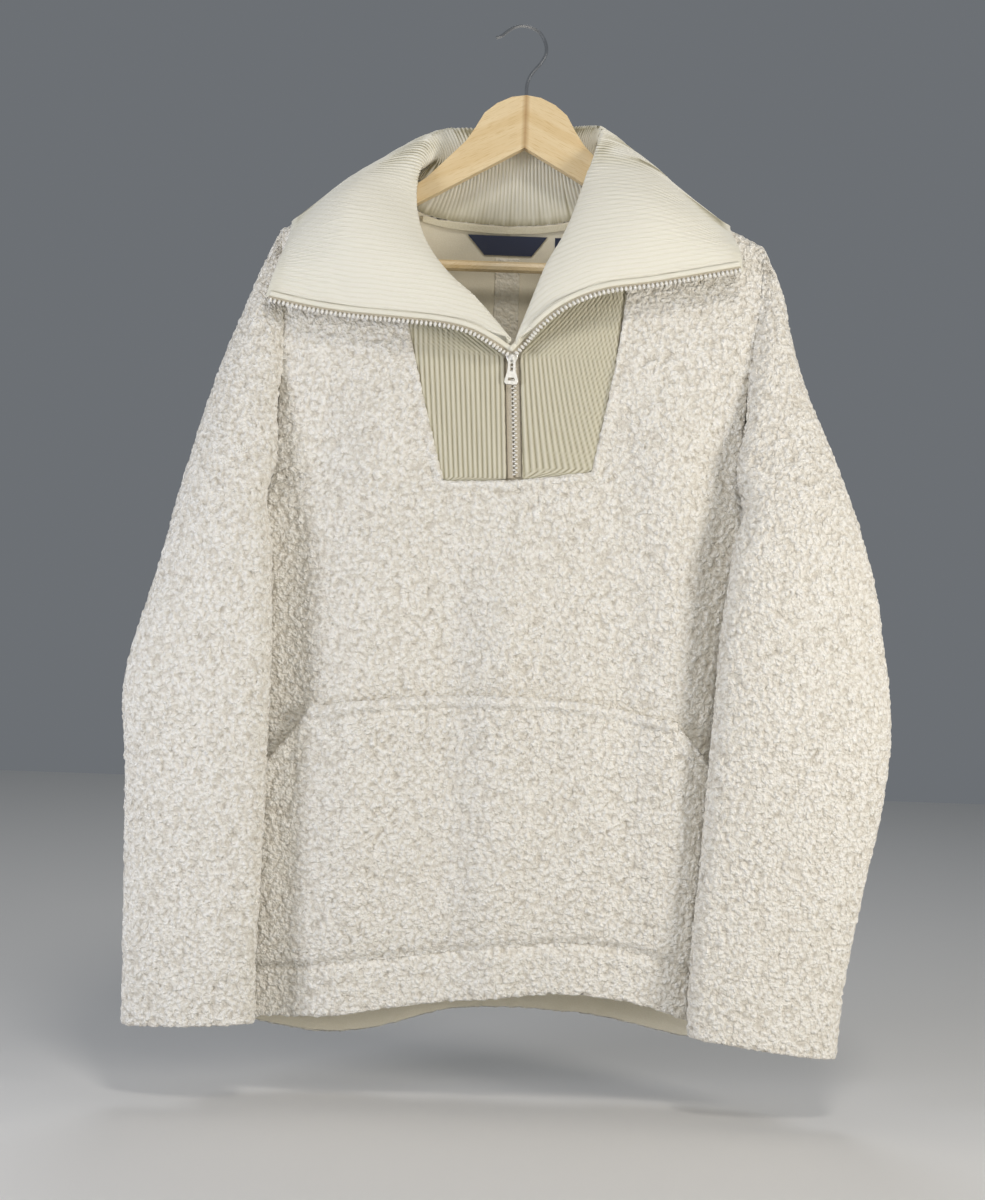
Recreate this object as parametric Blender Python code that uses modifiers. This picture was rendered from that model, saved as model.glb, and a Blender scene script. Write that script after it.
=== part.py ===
"""A sherpa fleece pullover with a rib-knit half-zip collar, hanging on a wooden hanger.

The model is in metres with +Z up and the front towards -Y. Its origin is the highest point
inside the bend of the hook, where a rail carries the hanger. Every size below is in
millimetres, in the same frame, and turns into metres when a mesh is made.

Each cut piece of cloth is one closed wall. Its middle surface is a grid of points worked out
from short tables. The wall's two faces are those points moved out and in along the surface's
normals. Cut edges that are sewn together share points and normals, and each one is pulled
back by half the seam gap.
"""
import math

import bmesh
import bpy
import numpy as np
from mathutils import Matrix, Vector
from mathutils.bvhtree import BVHTree

MM = 0.001
SEAM_GAP = 0.3
FLEECE = 4.0
RIB_KNIT = 2.4
RIB_RELIEF = 0.7
TAPE = 1.2
LABEL = 0.8

# The hanger's own sizes; the garment's shoulders follow its arms.
AXIS_X = 6.0
WOOD_THICK = 12.0
WOOD_CHAMFER = 4.0
ARM_START = 81.0
ARM_START_Z = -131.0
ARM_SLOPE = 0.49
WIRE_RADIUS = 1.6
BAR_RADIUS = 5.0
BAR_Z = -216.0
BAR_HALF = 186.0

# Where the cloth lies over an arm.
OVER_ARM_RISE = 5.0
OVER_ARM_DROP = 12.0
OVER_ARM_DEPTH = 11.5
SHOULDER_RAMP = 80.0
SIDE_POWER = 2.6

CHEST_CENTRE = 3.0
CHEST_HALF = 250.0
UNDERARM_Z = -432.0
ZIP_CHANNEL = 6.5
SLEEVE_CLEAR = 10.5
LAP = 8.0
LAP_START = 0.45
EXTRA_GAP = 0.4
ZIP_BOTTOM = (7.0, -414.0)
ZIP_TOP = (1.0, -296.0)


def table(columns, *rows):
    """A table with named columns: one row for each section, fold or station."""
    return dict(zip(columns.split(), np.array(rows, float).T))


# Depth of the body in front of and behind the arms, from the shoulders to the hem.
BODY = table(
    "z      front  back",
    (-140,   16,    20),
    (-200,   24,    25),
    (-300,   38,    27),
    (-400,   43,    28),
    (-520,   44,    29),
    (-650,   44,    30),
    (-780,   42,    31),
    (-900,   39,    32),
)
# The hem's height across the body. The front is drawn up in the middle, and the back
# dips in two waves.
HEM = table(
    "x      front   back",
    (-247,  -895,   -895),
    (-207,  -890,   -905),
    (-150,  -886,   -914),
    (-100,  -878,   -908),
    (-55,   -871,   -894),
    (0,     -865,   -887),
    (50,    -859,   -887),
    (102,   -861,   -892),
    (145,   -869,   -900),
    (185,   -883,   -906),
    (253,   -895,   -895),
)
# The armholes, from the shoulder seam to the underarm.
ARMHOLE = table(
    "z      left_front  right_front  left_back  right_back",
    (-203,  -208,        222,        -208,       222),
    (-240,  -205,        221,        -206,       218),
    (-290,  -203,        215,        -204,       212),
    (-340,  -203,        209,        -203,       209),
    (-380,  -207,        208,        -207,       211),
    (-410,  -222,        222,        -220,       224),
    (-432,  -247,        253,        -247,       253),
)
# The bib's side seams, from the shoulder seam down to its lower corners.
BIB_SIDE = table(
    "share  left    left_z  right   right_z",
    (0,     -114,   -145.2, 112,    -138.3),
    (0.35,  -104,   -215,   104,    -215),
    (0.65,  -86,    -300,   94,     -300),
    (1,     -57,    -413,   75,     -401),
)
# The seam between bib and collar, from the zip up to the neck point, on each side.
FRONT_NECK = table(
    "share  left    left_z  right   right_z",
    (0,     -5.5,   -296,   7.5,    -296),
    (0.2,   -38,    -268,   28,     -262),
    (0.4,   -68,    -241,   47,     -232),
    (0.6,   -91,    -214,   66,     -203),
    (0.8,   -105,   -182,   88,     -172),
    (1,     -114,   -145.2, 112,    -138.3),
)
# The back neck seam, from the left neck point to the right one.
BACK_NECK = table(
    "x      z",
    (-114,  -145.2),
    (-106,  -156),
    (-92,   -165),
    (-70,   -171),
    (-38,   -174),
    (-5,    -175),
    (28,    -173),
    (56,    -168),
    (80,    -160),
    (99,    -150),
    (112,   -138.3),
)
# Soft vertical and slanting folds. Height is how far the cloth stands out, negative for a
# trough; lean is the sideways shift for each millimetre down.
FRONT_FOLDS = table(
    "x      lean    width   height  top     bottom",
    (-165,  0.02,   20,     -6,     -330,   -930),
    (-112,  0.04,   30,     7,      -300,   -930),
    (-50,   -0.06,  24,     -5,     -450,   -930),
    (5,     0.03,   26,     5,      -440,   -930),
    (88,    -0.10,  26,     -5,     -330,   -930),
    (140,   -0.02,  26,     7,      -290,   -930),
    (190,   -0.05,  16,     -5,     -330,   -930),
)
BACK_FOLDS = table(
    "x      lean    width   height  top     bottom",
    (-150,  0.03,   30,     7,      -260,   -930),
    (-85,   -0.03,  26,     -6,     -330,   -930),
    (-20,   0.02,   26,     5,      -380,   -930),
    (55,    -0.04,  28,     -6,     -340,   -930),
    (120,   0.03,   28,     7,      -250,   -930),
    (185,   -0.02,  20,     -5,     -330,   -930),
)
POCKET_FOLDS = table(
    "x      lean    width   height  top     bottom",
    (120,   0.50,   20,     -5,     -650,   -800),
    (55,    0.45,   18,     4,      -650,   -810),
    (10,    0.45,   20,     -4,     -650,   -800),
    (-90,   -0.30,  22,     -3,     -680,   -830),
)
# Level sections of the sleeves: the ends of each flattened oval and half its thickness.
# Slant is how much lower the outer end hangs than the inner one.
SLEEVE_LEFT = table(
    "z      inner_x inner_y outer_x outer_y half    slant",
    (-203,  -208,   -3,     -213,   0,      11,     0),
    (-232,  -205,   -4,     -225,   0,      15,     0),
    (-264,  -204,   -7,     -237,   -3,     21,     0),
    (-311,  -203,   -16,    -254,   -9,     24,     0),
    (-383,  -204,   -34,    -274,   -20,    25,     0),
    (-437,  -205,   -50,    -287,   -28,    23,     0),
    (-491,  -204,   -57,    -300,   -33,    21,     0),
    (-544,  -203,   -59,    -315,   -37,    20,     0),
    (-590,  -202,   -61,    -327,   -39,    20,     1),
    (-667,  -203,   -61,    -324,   -40,    18,     3),
    (-755,  -204,   -61,    -322,   -41,    16,     5),
    (-842,  -206,   -61,    -320,   -43,    16,     7),
    (-889,  -205,   -61,    -319,   -43,    17,     8),
)
SLEEVE_RIGHT = table(
    "z      inner_x inner_y outer_x outer_y half    slant",
    (-203,  222,    -3,     227,    0,      11,     0),
    (-232,  222,    -4,     238,    0,      15,     0),
    (-264,  220,    -7,     245,    -3,     21,     0),
    (-311,  213,    -16,    258,    -9,     24,     0),
    (-383,  208,    -36,    288,    -26,    23,     0),
    (-437,  203,    -54,    307,    -38,    22,     0),
    (-491,  198,    -60,    324,    -40,    22,     0),
    (-544,  193,    -60,    334,    -39,    22,     1),
    (-600,  190,    -61,    342,    -42,    22,     3),
    (-660,  186,    -61,    340,    -43,    20,     7),
    (-740,  182,    -60,    325,    -44,    18,     11),
    (-830,  176,    -60,    309,    -45,    16,     15),
    (-888,  176,    -60,    304,    -46,    17,     18),
)
# The collar around the neck, from the zip on the left (0) over the centre back (11) to the
# zip on the right (22): its roll line, the middle of its fall and its free edge.
COLLAR = table(
    "at     roll_x roll_y roll_z  fall_x fall_y fall_z  edge_x edge_y edge_z",
    (0,     -8,    -53,   -284,    -98,   -57,   -273,   -216,  -41,   -256),
    (1.5,   -32,   -48,   -255,    -118,  -58,   -244,   -212,  -39,   -240),
    (3,     -60,   -46,   -226,    -136,  -58,   -214,   -207,  -35,   -223),
    (4.5,   -82,   -38,   -196,    -147,  -50,   -180,   -202,  -25,   -206),
    (6,     -88,   -22,   -160,    -143,  -33,   -150,   -198,  -8,    -190),
    (7.5,   -81,   -7,    -119,    -134,  -4,    -132,   -190,  20,    -186),
    (9,     -62,   14,    -95,     -105,  32,    -116,   -158,  44,    -192),
    (11,    -5,    19,    -89,     -6,    42,    -128,   -8,    52,    -190),
    (13,    50,    17,    -86,     76,    38,    -114,   96,    50,    -188),
    (14.5,  70,    6,     -89,     108,   22,    -112,   152,   38,    -186),
    (16,    67,    -9,    -108,    118,   -8,    -120,   182,   10,    -178),
    (17.5,  57,    -22,   -138,    118,   -32,   -140,   191,   -12,   -181),
    (19,    47,    -36,   -174,    117,   -50,   -168,   196,   -26,   -192),
    (20.5,  29,    -47,   -226,    104,   -58,   -204,   199,   -37,   -205),
    (22,    9,     -53,   -284,    76,    -57,   -246,   200,   -41,   -220),
)
# Where the rows of the collar's grid lie between seam (0), roll (1), fall (2) and edge (3).
COLLAR_ROWS = (0.0, 0.3, 0.65, 0.95, 1.2, 1.5, 2.0, 2.5, 3.0)
# The pouch pocket: its upper edge, then its sides down to the hem seam.
POCKET_TOP = table(
    "x      z",
    (-161,  -616),
    (-121,  -609),
    (-43,   -602),
    (36,    -601),
    (106,   -609),
    (152,   -618),
)
POCKET_SIDE = table(
    "share  left    left_z  right   right_z",
    (0,     -161,   -616,   152,    -618),
    (0.3,   -204,   -672,   190,    -668),
    (0.45,  -216,   -710,   205,    -708),
    (1,     -218,   -846,   208,    -842),
)
POCKET_FOOT = table(
    "x      z",
    (-218,  -846),
    (-141,  -840),
    (-79,   -831),
    (9,     -820),
    (79,    -814),
    (132,   -821),
    (208,   -842),
)
HEM_FULLNESS = 3.5

# Grid sizes: cells along and across each piece.
SHOULDER_CELLS = 7
BIB_CELLS = 3
ARMHOLE_ROWS = 8
BODY_ROWS = 12
SLEEVE_COLUMNS = 20
SLEEVE_ROWS = 12
RIB_STEPS = 7


def follow(stations, values, where):
    """A smooth curve through table rows, read at the given places."""
    stations = np.asarray(stations, float)
    values = np.asarray(values, float)
    order = np.argsort(stations)
    stations = stations[order]
    values = values[order]
    slope = np.gradient(values, stations, axis=0)
    where = np.clip(np.asarray(where, float), stations[0], stations[-1])
    cell = np.clip(np.searchsorted(stations, where, side="right") - 1, 0, len(stations) - 2)
    width = stations[cell + 1] - stations[cell]
    part = (where - stations[cell]) / width
    start = 2 * part**3 - 3 * part**2 + 1
    swing = part**3 - 2 * part**2 + part
    land = part**3 - part**2
    return (
        start * values[cell]
        + (1 - start) * values[cell + 1]
        + width * (swing * slope[cell] + land * slope[cell + 1])
    )


def ease(share):
    share = min(max(share, 0.0), 1.0)
    return share * share * (3 - 2 * share)


def unit(vector):
    return vector / max(np.linalg.norm(vector), 1e-9)


def between(first, last, steps):
    return np.linspace(first, last, steps + 1)


def shoulder_height(x):
    """Height of the shoulder seam, just above the hanger's arm."""
    return ARM_START_Z - ARM_SLOPE * (abs(x - AXIS_X) - ARM_START) + OVER_ARM_RISE


def fold_height(folds, x, z):
    """How far the folds lift the cloth at a place."""
    lift = 0.0
    for centre, lean, width, height, top, bottom in zip(*folds.values()):
        middle = centre + lean * (z - top)
        along = ease((top - z) / 90.0) * ease((z - bottom) / 40.0)
        lift += height * along * math.exp(-(((x - middle) / width) ** 2))
    return lift


def body_depth(x, z, side):
    """Distance of the front or back cloth from the plane of the hanger."""
    drop = shoulder_height(x) - z
    if drop <= 0:
        return 0.0
    if drop < OVER_ARM_DROP:
        return OVER_ARM_DEPTH * math.sqrt(1 - (1 - drop / OVER_ARM_DROP) ** 2)
    across = min(abs(x - CHEST_CENTRE) / CHEST_HALF, 1.0)
    side_fall = (1 - across**SIDE_POWER) ** (1 / SIDE_POWER)
    full = float(follow(BODY["z"], BODY[side], z))
    full += fold_height(FRONT_FOLDS if side == "front" else BACK_FOLDS, x, z)
    if side == "front":
        seam = float(follow(POCKET_FOOT["x"], POCKET_FOOT["z"], x))
        full += HEM_FULLNESS * ease((seam - 1.0 - z) / 9.0)
    return OVER_ARM_DEPTH + (full * side_fall - OVER_ARM_DEPTH) * ease(
        (drop - OVER_ARM_DROP) / SHOULDER_RAMP
    )


def body_point(x, z, side):
    sign = -1 if side == "front" else 1
    return np.array((x, sign * body_depth(x, z, side), z))


def body_normal(x, z, side):
    """Outward direction of the front or back cloth."""
    if z <= UNDERARM_Z + 0.01 and abs(x - CHEST_CENTRE) > CHEST_HALF - 0.01:
        return np.array((math.copysign(1, x), 0.0, 0.0))
    if z >= shoulder_height(x) - 0.01:
        return unit(np.array((math.copysign(ARM_SLOPE, x - AXIS_X), 0.0, 1.0)))
    step = 1.5
    sign = -1 if side == "front" else 1
    left = body_depth(x - step, z, side)
    right = body_depth(x + step, z, side)
    below = body_depth(x, z - step, side)
    above = body_depth(x, z + step, side)
    return unit(np.array(((left - right) / (2 * step), sign, (below - above) / (2 * step))))


def grid_faces(rows, columns, skip=(), weld=None):
    """Quads of a grid; weld(row) is true where the last column is the first one."""
    def corner(row, column):
        if weld and column == columns and weld(row):
            column = 0
        return row * (columns + 1) + column

    faces = []
    for row in range(rows):
        for column in range(columns):
            if (row, column) in skip:
                continue
            faces.append((
                corner(row, column),
                corner(row, column + 1),
                corner(row + 1, column + 1),
                corner(row + 1, column),
            ))
    return faces


def open_edges(faces):
    """Directed edges that only one face uses."""
    edges = {(face[k - 1], face[k]) for face in faces for k in range(4)}
    return [(a, b) for a, b in edges if (b, a) not in edges]


def smooth_normals(points, faces):
    normals = np.zeros_like(points)
    for face in faces:
        a, b, c, d = points[list(face)]
        normals[list(face)] += np.cross(c - a, d - b)
    return np.array([unit(normal) for normal in normals])


def pull_back(points, normals, faces, gap=SEAM_GAP):
    """Moves the cut edges in by half the seam gap, inside the surface."""
    inward = {}
    for a, b in open_edges(faces):
        middle = unit(normals[a] + normals[b])
        side = unit(np.cross(middle, unit(points[b] - points[a])))
        inward.setdefault(a, []).append(side)
        inward.setdefault(b, []).append(side)
    moved = points.copy()
    for corner, (first, second) in inward.items():
        opening = max(1 + float(first @ second), 0.4)
        moved[corner] += (first + second) * (gap / 2) / opening
    return moved


def add_mesh(name, points, faces, material):
    mesh = bpy.data.meshes.new(name)
    mesh.from_pydata((np.asarray(points) * MM).tolist(), [], [tuple(face) for face in faces])
    body = bmesh.new()
    body.from_mesh(mesh)
    loose = [vert for vert in body.verts if not vert.link_faces]
    bmesh.ops.delete(body, geom=loose, context="VERTS")
    body.to_mesh(mesh)
    body.free()
    mesh.materials.append(material)
    mesh.shade_smooth()
    mesh.set_sharp_from_angle(angle=math.radians(50))
    piece = bpy.data.objects.new(name, mesh)
    PARTS.objects.link(piece)
    return piece


def add_wall(name, points, normals, faces, thickness, material):
    """A closed wall of even thickness around a middle surface."""
    points = pull_back(points, normals, faces)
    half = thickness / 2
    both = np.concatenate((points + normals * half, points - normals * half))
    count = len(points)
    shell = [face for face in faces]
    shell += [tuple(corner + count for corner in reversed(face)) for face in faces]
    shell += [(b, a, a + count, b + count) for a, b in open_edges(faces)]
    return add_mesh(name, both, shell, material)


def add_ribbed_wall(name, points, normals, rows, columns, raised, material):
    """A rib-knit wall. One face is plain; the other has a rib for every two of its steps."""
    points = pull_back(points, normals, grid_faces(rows, columns))
    half = RIB_KNIT / 2
    plain = (points - raised * normals * half).reshape(rows + 1, columns + 1, 3)
    face = (points + raised * normals * half).reshape(rows + 1, columns + 1, 3)
    lift = (raised * normals * RIB_RELIEF).reshape(rows + 1, columns + 1, 3)
    fine = columns * RIB_STEPS
    ribbed = np.zeros((rows + 1, fine + 1, 3))
    for step in range(fine + 1):
        cell = min(step // RIB_STEPS, columns - 1)
        part = step / RIB_STEPS - cell
        ribbed[:, step] = face[:, cell] * (1 - part) + face[:, cell + 1] * part
        if step % 2 and step < fine:
            up = lift[:, cell] * (1 - part) + lift[:, cell + 1] * part
            ribbed[1:rows, step] += up[1:rows]
    shell = grid_faces(rows, fine)
    start = (rows + 1) * (fine + 1)
    shell += [tuple(start + k for k in reversed(quad)) for quad in grid_faces(rows, columns)]
    for row, flip in ((0, True), (rows, False)):
        for cell in range(columns):
            rim = [row * (fine + 1) + cell * RIB_STEPS + k for k in range(RIB_STEPS + 1)]
            ends = [start + row * (columns + 1) + cell + k for k in (0, 1)]
            fan = [
                (ends[0] if 2 * k < RIB_STEPS else ends[1], rim[k], rim[k + 1])
                for k in range(RIB_STEPS)
            ]
            fan.append((ends[0], rim[RIB_STEPS // 2 + 1], ends[1]))
            shell += [tuple(reversed(face)) if flip else face for face in fan]
    for column, inner, flip in ((0, 0, False), (fine, columns, True)):
        for row in range(rows):
            rim = [
                row * (fine + 1) + column,
                (row + 1) * (fine + 1) + column,
                start + (row + 1) * (columns + 1) + inner,
                start + row * (columns + 1) + inner,
            ]
            shell.append(tuple(reversed(rim)) if flip else tuple(rim))
    if raised < 0:
        shell = [tuple(reversed(quad)) for quad in shell]
    both = np.concatenate((ribbed.reshape(-1, 3), plain.reshape(-1, 3)))
    return add_mesh(name, both, shell, material)


def finish(name, colour, roughness, metallic=0.0):
    """A plain material in the colour of the real one."""
    material = bpy.data.materials.new(name)
    material.use_nodes = True
    shader = material.node_tree.nodes["Principled BSDF"]
    shader.inputs["Base Color"].default_value = (*colour, 1.0)
    shader.inputs["Roughness"].default_value = roughness
    shader.inputs["Metallic"].default_value = metallic
    return material


def group(name):
    collection = bpy.data.collections.new(name)
    bpy.context.scene.collection.children.link(collection)
    return collection


for leftover in list(bpy.data.objects):
    bpy.data.objects.remove(leftover)
PARTS = group("fleece_pullover_on_hanger")
CUTTERS = group("cutters")
FLEECE_CLOTH = finish("cream_sherpa_fleece", (0.80, 0.74, 0.66), 0.95)
RIB_CLOTH = finish("cream_rib_knit", (0.76, 0.72, 0.60), 0.9)
TAPE_CLOTH = finish("cream_woven_tape", (0.70, 0.64, 0.52), 0.85)
LABEL_CLOTH = finish("navy_satin_label", (0.012, 0.018, 0.06), 0.5)
WOOD = finish("varnished_beech", (0.66, 0.44, 0.22), 0.4)
STEEL = finish("bright_steel", (0.72, 0.72, 0.74), 0.25, 1.0)
ZIP_METAL = finish("silver_zip_metal", (0.75, 0.75, 0.75), 0.35, 1.0)


# --- hanger -----------------------------------------------------------------------------

# The upper and lower edges of one half of the wood, outward from the hook.
WOOD_UPPER = table(
    "x      z",
    (0,     -62),
    (13,    -64),
    (26,    -70),
    (37,    -79),
    (45,    -93),
    (53,    -105),
    (66,    -118),
    (79,    -131),
    (87,    -139),
    (100,   -148),
    (122,   -158.5),
)
WOOD_TIP = table(
    "x      z",
    (150,   -168.5),
    (182,   -182),
    (196,   -189),
    (205,   -199),
    (207,   -210),
    (203,   -222),
    (192,   -229),
    (180,   -227),
    (171,   -217),
    (161,   -200),
)
WOOD_APEX_Z = -109.0
HOOK_HOLE_DEPTH = 16.0
# The hook's wire from the wood up and round to its tip.
HOOK_WIRE = table(
    "x      z",
    (6,     -62),
    (6,     -53),
    (8,     -45),
    (12.5,  -38),
    (18,    -31.5),
    (22,    -24),
    (22.5,  -17),
    (20,    -9.5),
    (15.5,  -3.5),
    (8.5,   0.2),
    (0,     1.6),
    (-7,    0),
    (-13,   -3.8),
    (-18,   -8),
    (-23,   -10),
)
HOOK_POINTS = 46


def as_mesh(curve_object, name, material):
    """Turns a curve object into a mesh object with welded caps."""
    graph = bpy.context.evaluated_depsgraph_get()
    mesh = bpy.data.meshes.new_from_object(curve_object.evaluated_get(graph))
    mesh.name = name
    body = bmesh.new()
    body.from_mesh(mesh)
    bmesh.ops.remove_doubles(body, verts=body.verts, dist=1e-6)
    bmesh.ops.recalc_face_normals(body, faces=body.faces)
    body.to_mesh(mesh)
    body.free()
    mesh.materials.clear()
    mesh.materials.append(material)
    place = curve_object.matrix_world.copy()
    curve = curve_object.data
    bpy.data.objects.remove(curve_object)
    bpy.data.curves.remove(curve)
    piece = bpy.data.objects.new(name, mesh)
    piece.matrix_world = place
    PARTS.objects.link(piece)
    return piece


def add_plate(name, outline, thickness, material, holes=(), centre_y=0.0):
    """A flat piece cut from sheet in the XZ plane, with its thickness along Y."""
    curve = bpy.data.curves.new(name, "CURVE")
    curve.dimensions = "2D"
    curve.fill_mode = "BOTH"
    curve.extrude = thickness / 2 * MM
    for ring in (outline, *holes):
        spline = curve.splines.new("POLY")
        spline.points.add(len(ring) - 1)
        for point, (x, z) in zip(spline.points, ring):
            point.co = (x * MM, z * MM, 0.0, 1.0)
        spline.use_cyclic_u = True
    flat = bpy.data.objects.new(name, curve)
    flat.rotation_euler = (math.pi / 2, 0.0, 0.0)
    flat.location = (0.0, centre_y * MM, 0.0)
    PARTS.objects.link(flat)
    bpy.context.view_layer.update()
    return as_mesh(flat, name, material)


def add_wire(name, path, radius, material, resolution=2):
    curve = bpy.data.curves.new(name, "CURVE")
    curve.dimensions = "3D"
    curve.bevel_depth = radius * MM
    curve.bevel_resolution = resolution
    curve.use_fill_caps = True
    spline = curve.splines.new("POLY")
    spline.points.add(len(path) - 1)
    for point, place in zip(spline.points, path):
        point.co = (*(np.asarray(place) * MM), 1.0)
    wire = bpy.data.objects.new(name, curve)
    PARTS.objects.link(wire)
    bpy.context.view_layer.update()
    piece = as_mesh(wire, name, material)
    piece.data.shade_smooth()
    piece.data.set_sharp_from_angle(angle=math.radians(60))
    return piece


def cylinder_cutter(name, radius, start, end):
    """A cutter that is kept in its own collection, between two points."""
    start, end = np.array(start, float), np.array(end, float)
    way = end - start
    bpy.ops.mesh.primitive_cylinder_add(
        vertices=16, radius=radius * MM, depth=float(np.linalg.norm(way)) * MM
    )
    cutter = bpy.context.object
    cutter.name = name
    cutter.location = (start + end) / 2 * MM
    if abs(way[0]) > abs(way[2]):
        cutter.rotation_euler = (0.0, math.pi / 2, 0.0)
    for collection in list(cutter.users_collection):
        collection.objects.unlink(cutter)
    CUTTERS.objects.link(cutter)
    cutter.hide_render = True
    cutter.display_type = "WIRE"
    return cutter


def cut(piece, cutter):
    modifier = piece.modifiers.new("cut_" + cutter.name, "BOOLEAN")
    modifier.operation = "DIFFERENCE"
    modifier.object = cutter


half_outline = list(zip(WOOD_UPPER["x"], WOOD_UPPER["z"])) + list(zip(WOOD_TIP["x"], WOOD_TIP["z"]))
wood_outline = [(AXIS_X + x, z) for x, z in half_outline]
wood_outline.append((AXIS_X, WOOD_APEX_Z))
wood_outline += [(AXIS_X - x, z) for x, z in reversed(half_outline[1:])]
hanger_wood = add_plate("hanger_wood", wood_outline, WOOD_THICK, WOOD)
chamfer = hanger_wood.modifiers.new("rounded_edges", "BEVEL")
chamfer.width = WOOD_CHAMFER * MM
chamfer.segments = 2
chamfer.limit_method = "ANGLE"
chamfer.angle_limit = math.radians(60)
bar_hole = cylinder_cutter(
    "bar_sockets",
    BAR_RADIUS + SEAM_GAP,
    (AXIS_X - BAR_HALF - SEAM_GAP, 0, BAR_Z),
    (AXIS_X + BAR_HALF + SEAM_GAP, 0, BAR_Z),
)
hook_hole = cylinder_cutter(
    "hook_socket",
    WIRE_RADIUS + SEAM_GAP,
    (AXIS_X, 0, HOOK_WIRE["z"][0] - HOOK_HOLE_DEPTH),
    (AXIS_X, 0, HOOK_WIRE["z"][0] + 10),
)
cut(hanger_wood, bar_hole)
cut(hanger_wood, hook_hole)

hook_lengths = np.arange(len(HOOK_WIRE["x"]), dtype=float)
hook_path = [(AXIS_X, 0.0, HOOK_WIRE["z"][0] - HOOK_HOLE_DEPTH + 2 * SEAM_GAP)]
for place in between(0, hook_lengths[-1], HOOK_POINTS):
    hook_path.append((
        float(follow(hook_lengths, HOOK_WIRE["x"], place)),
        0.0,
        float(follow(hook_lengths, HOOK_WIRE["z"], place)),
    ))
add_wire("hanger_hook", hook_path, WIRE_RADIUS, STEEL)
add_wire(
    "hanger_bar",
    [(AXIS_X - BAR_HALF, 0, BAR_Z), (AXIS_X, 0, BAR_Z), (AXIS_X + BAR_HALF, 0, BAR_Z)],
    BAR_RADIUS,
    WOOD,
    resolution=3,
)


# --- sleeves ----------------------------------------------------------------------------

def armhole_stations(hand, side):
    """Seam points down one half of an armhole, from the shoulder to the underarm."""
    heights = between(ARMHOLE["z"][0], ARMHOLE["z"][-1], ARMHOLE_ROWS)
    across = follow(-ARMHOLE["z"], ARMHOLE[hand + "_" + side], -heights)
    return [body_point(float(x), float(z), side) for x, z in zip(across, heights)]


def over_shoulder(hand, side):
    """The armhole seam where it crosses the hanger's arm: shoulder seam, then two points."""
    x = float(ARMHOLE[hand + "_" + side][0])
    top = shoulder_height(x)
    lowest = ARMHOLE["z"][0]
    return [body_point(x, z, side) for z in (top, top - 0.3 * (top - lowest), lowest)]


def sleeve_oval(rows, z, share):
    """A point of a level section, from the inner fold over the front and round the back."""
    inner = np.array([float(follow(-rows["z"], rows[key], -z)) for key in ("inner_x", "inner_y")])
    outer = np.array([float(follow(-rows["z"], rows[key], -z)) for key in ("outer_x", "outer_y")])
    half = float(follow(-rows["z"], rows["half"], -z))
    slant = float(follow(-rows["z"], rows["slant"], -z))
    reach = (inner - outer) / 2
    front = unit(np.array((-reach[1], reach[0])))
    if front[1] > 0:
        front = -front
    turn = 2 * math.pi * share
    along = math.copysign(abs(math.cos(turn)) ** 0.95, math.cos(turn))
    proud = math.copysign(abs(math.sin(turn)) ** 0.9, math.sin(turn))
    place = (inner + outer) / 2 + reach * along + front * half * proud
    return np.array((place[0], place[1], z - slant * (1 - along) / 2))


def seam_turns(z):
    """Where round the oval a section starts at the front seam and ends at the back one."""
    start = 0.22 * (1 - ease((-203.0 - z) / 110.0)) - 0.2 * ease((-310.0 - z) / 115.0)
    return start, 0.8


def keep_off(point, wanted, tree, at_edge=99.0):
    """Moves a point until it is at least this far from the nearest cloth, on its outside."""
    for _ in range(5):
        place, normal, _, distance = tree.find_nearest(tuple(point))
        offset = point - np.array(place)
        height = float(offset @ np.array(normal))
        slide = float(np.linalg.norm(offset - height * np.array(normal)))
        if slide < 1.0:
            if height >= wanted - 0.01 or height < -30:
                break
            point = point + np.array(normal) * (wanted - height)
        elif distance < min(wanted, at_edge):
            point = np.array(place) + offset * (min(wanted, at_edge) / distance)
        else:
            break
    return point


def in_front_of_body(point):
    """Brings a sleeve's point in front of the body where the two lie side by side."""
    if point[2] > -330.0 or abs(point[0] - CHEST_CENTRE) > CHEST_HALF - 0.5:
        return point
    least = body_depth(point[0], point[2], "front") + 0.8 * SLEEVE_CLEAR
    return np.array((point[0], min(point[1], -least), point[2]))


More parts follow.
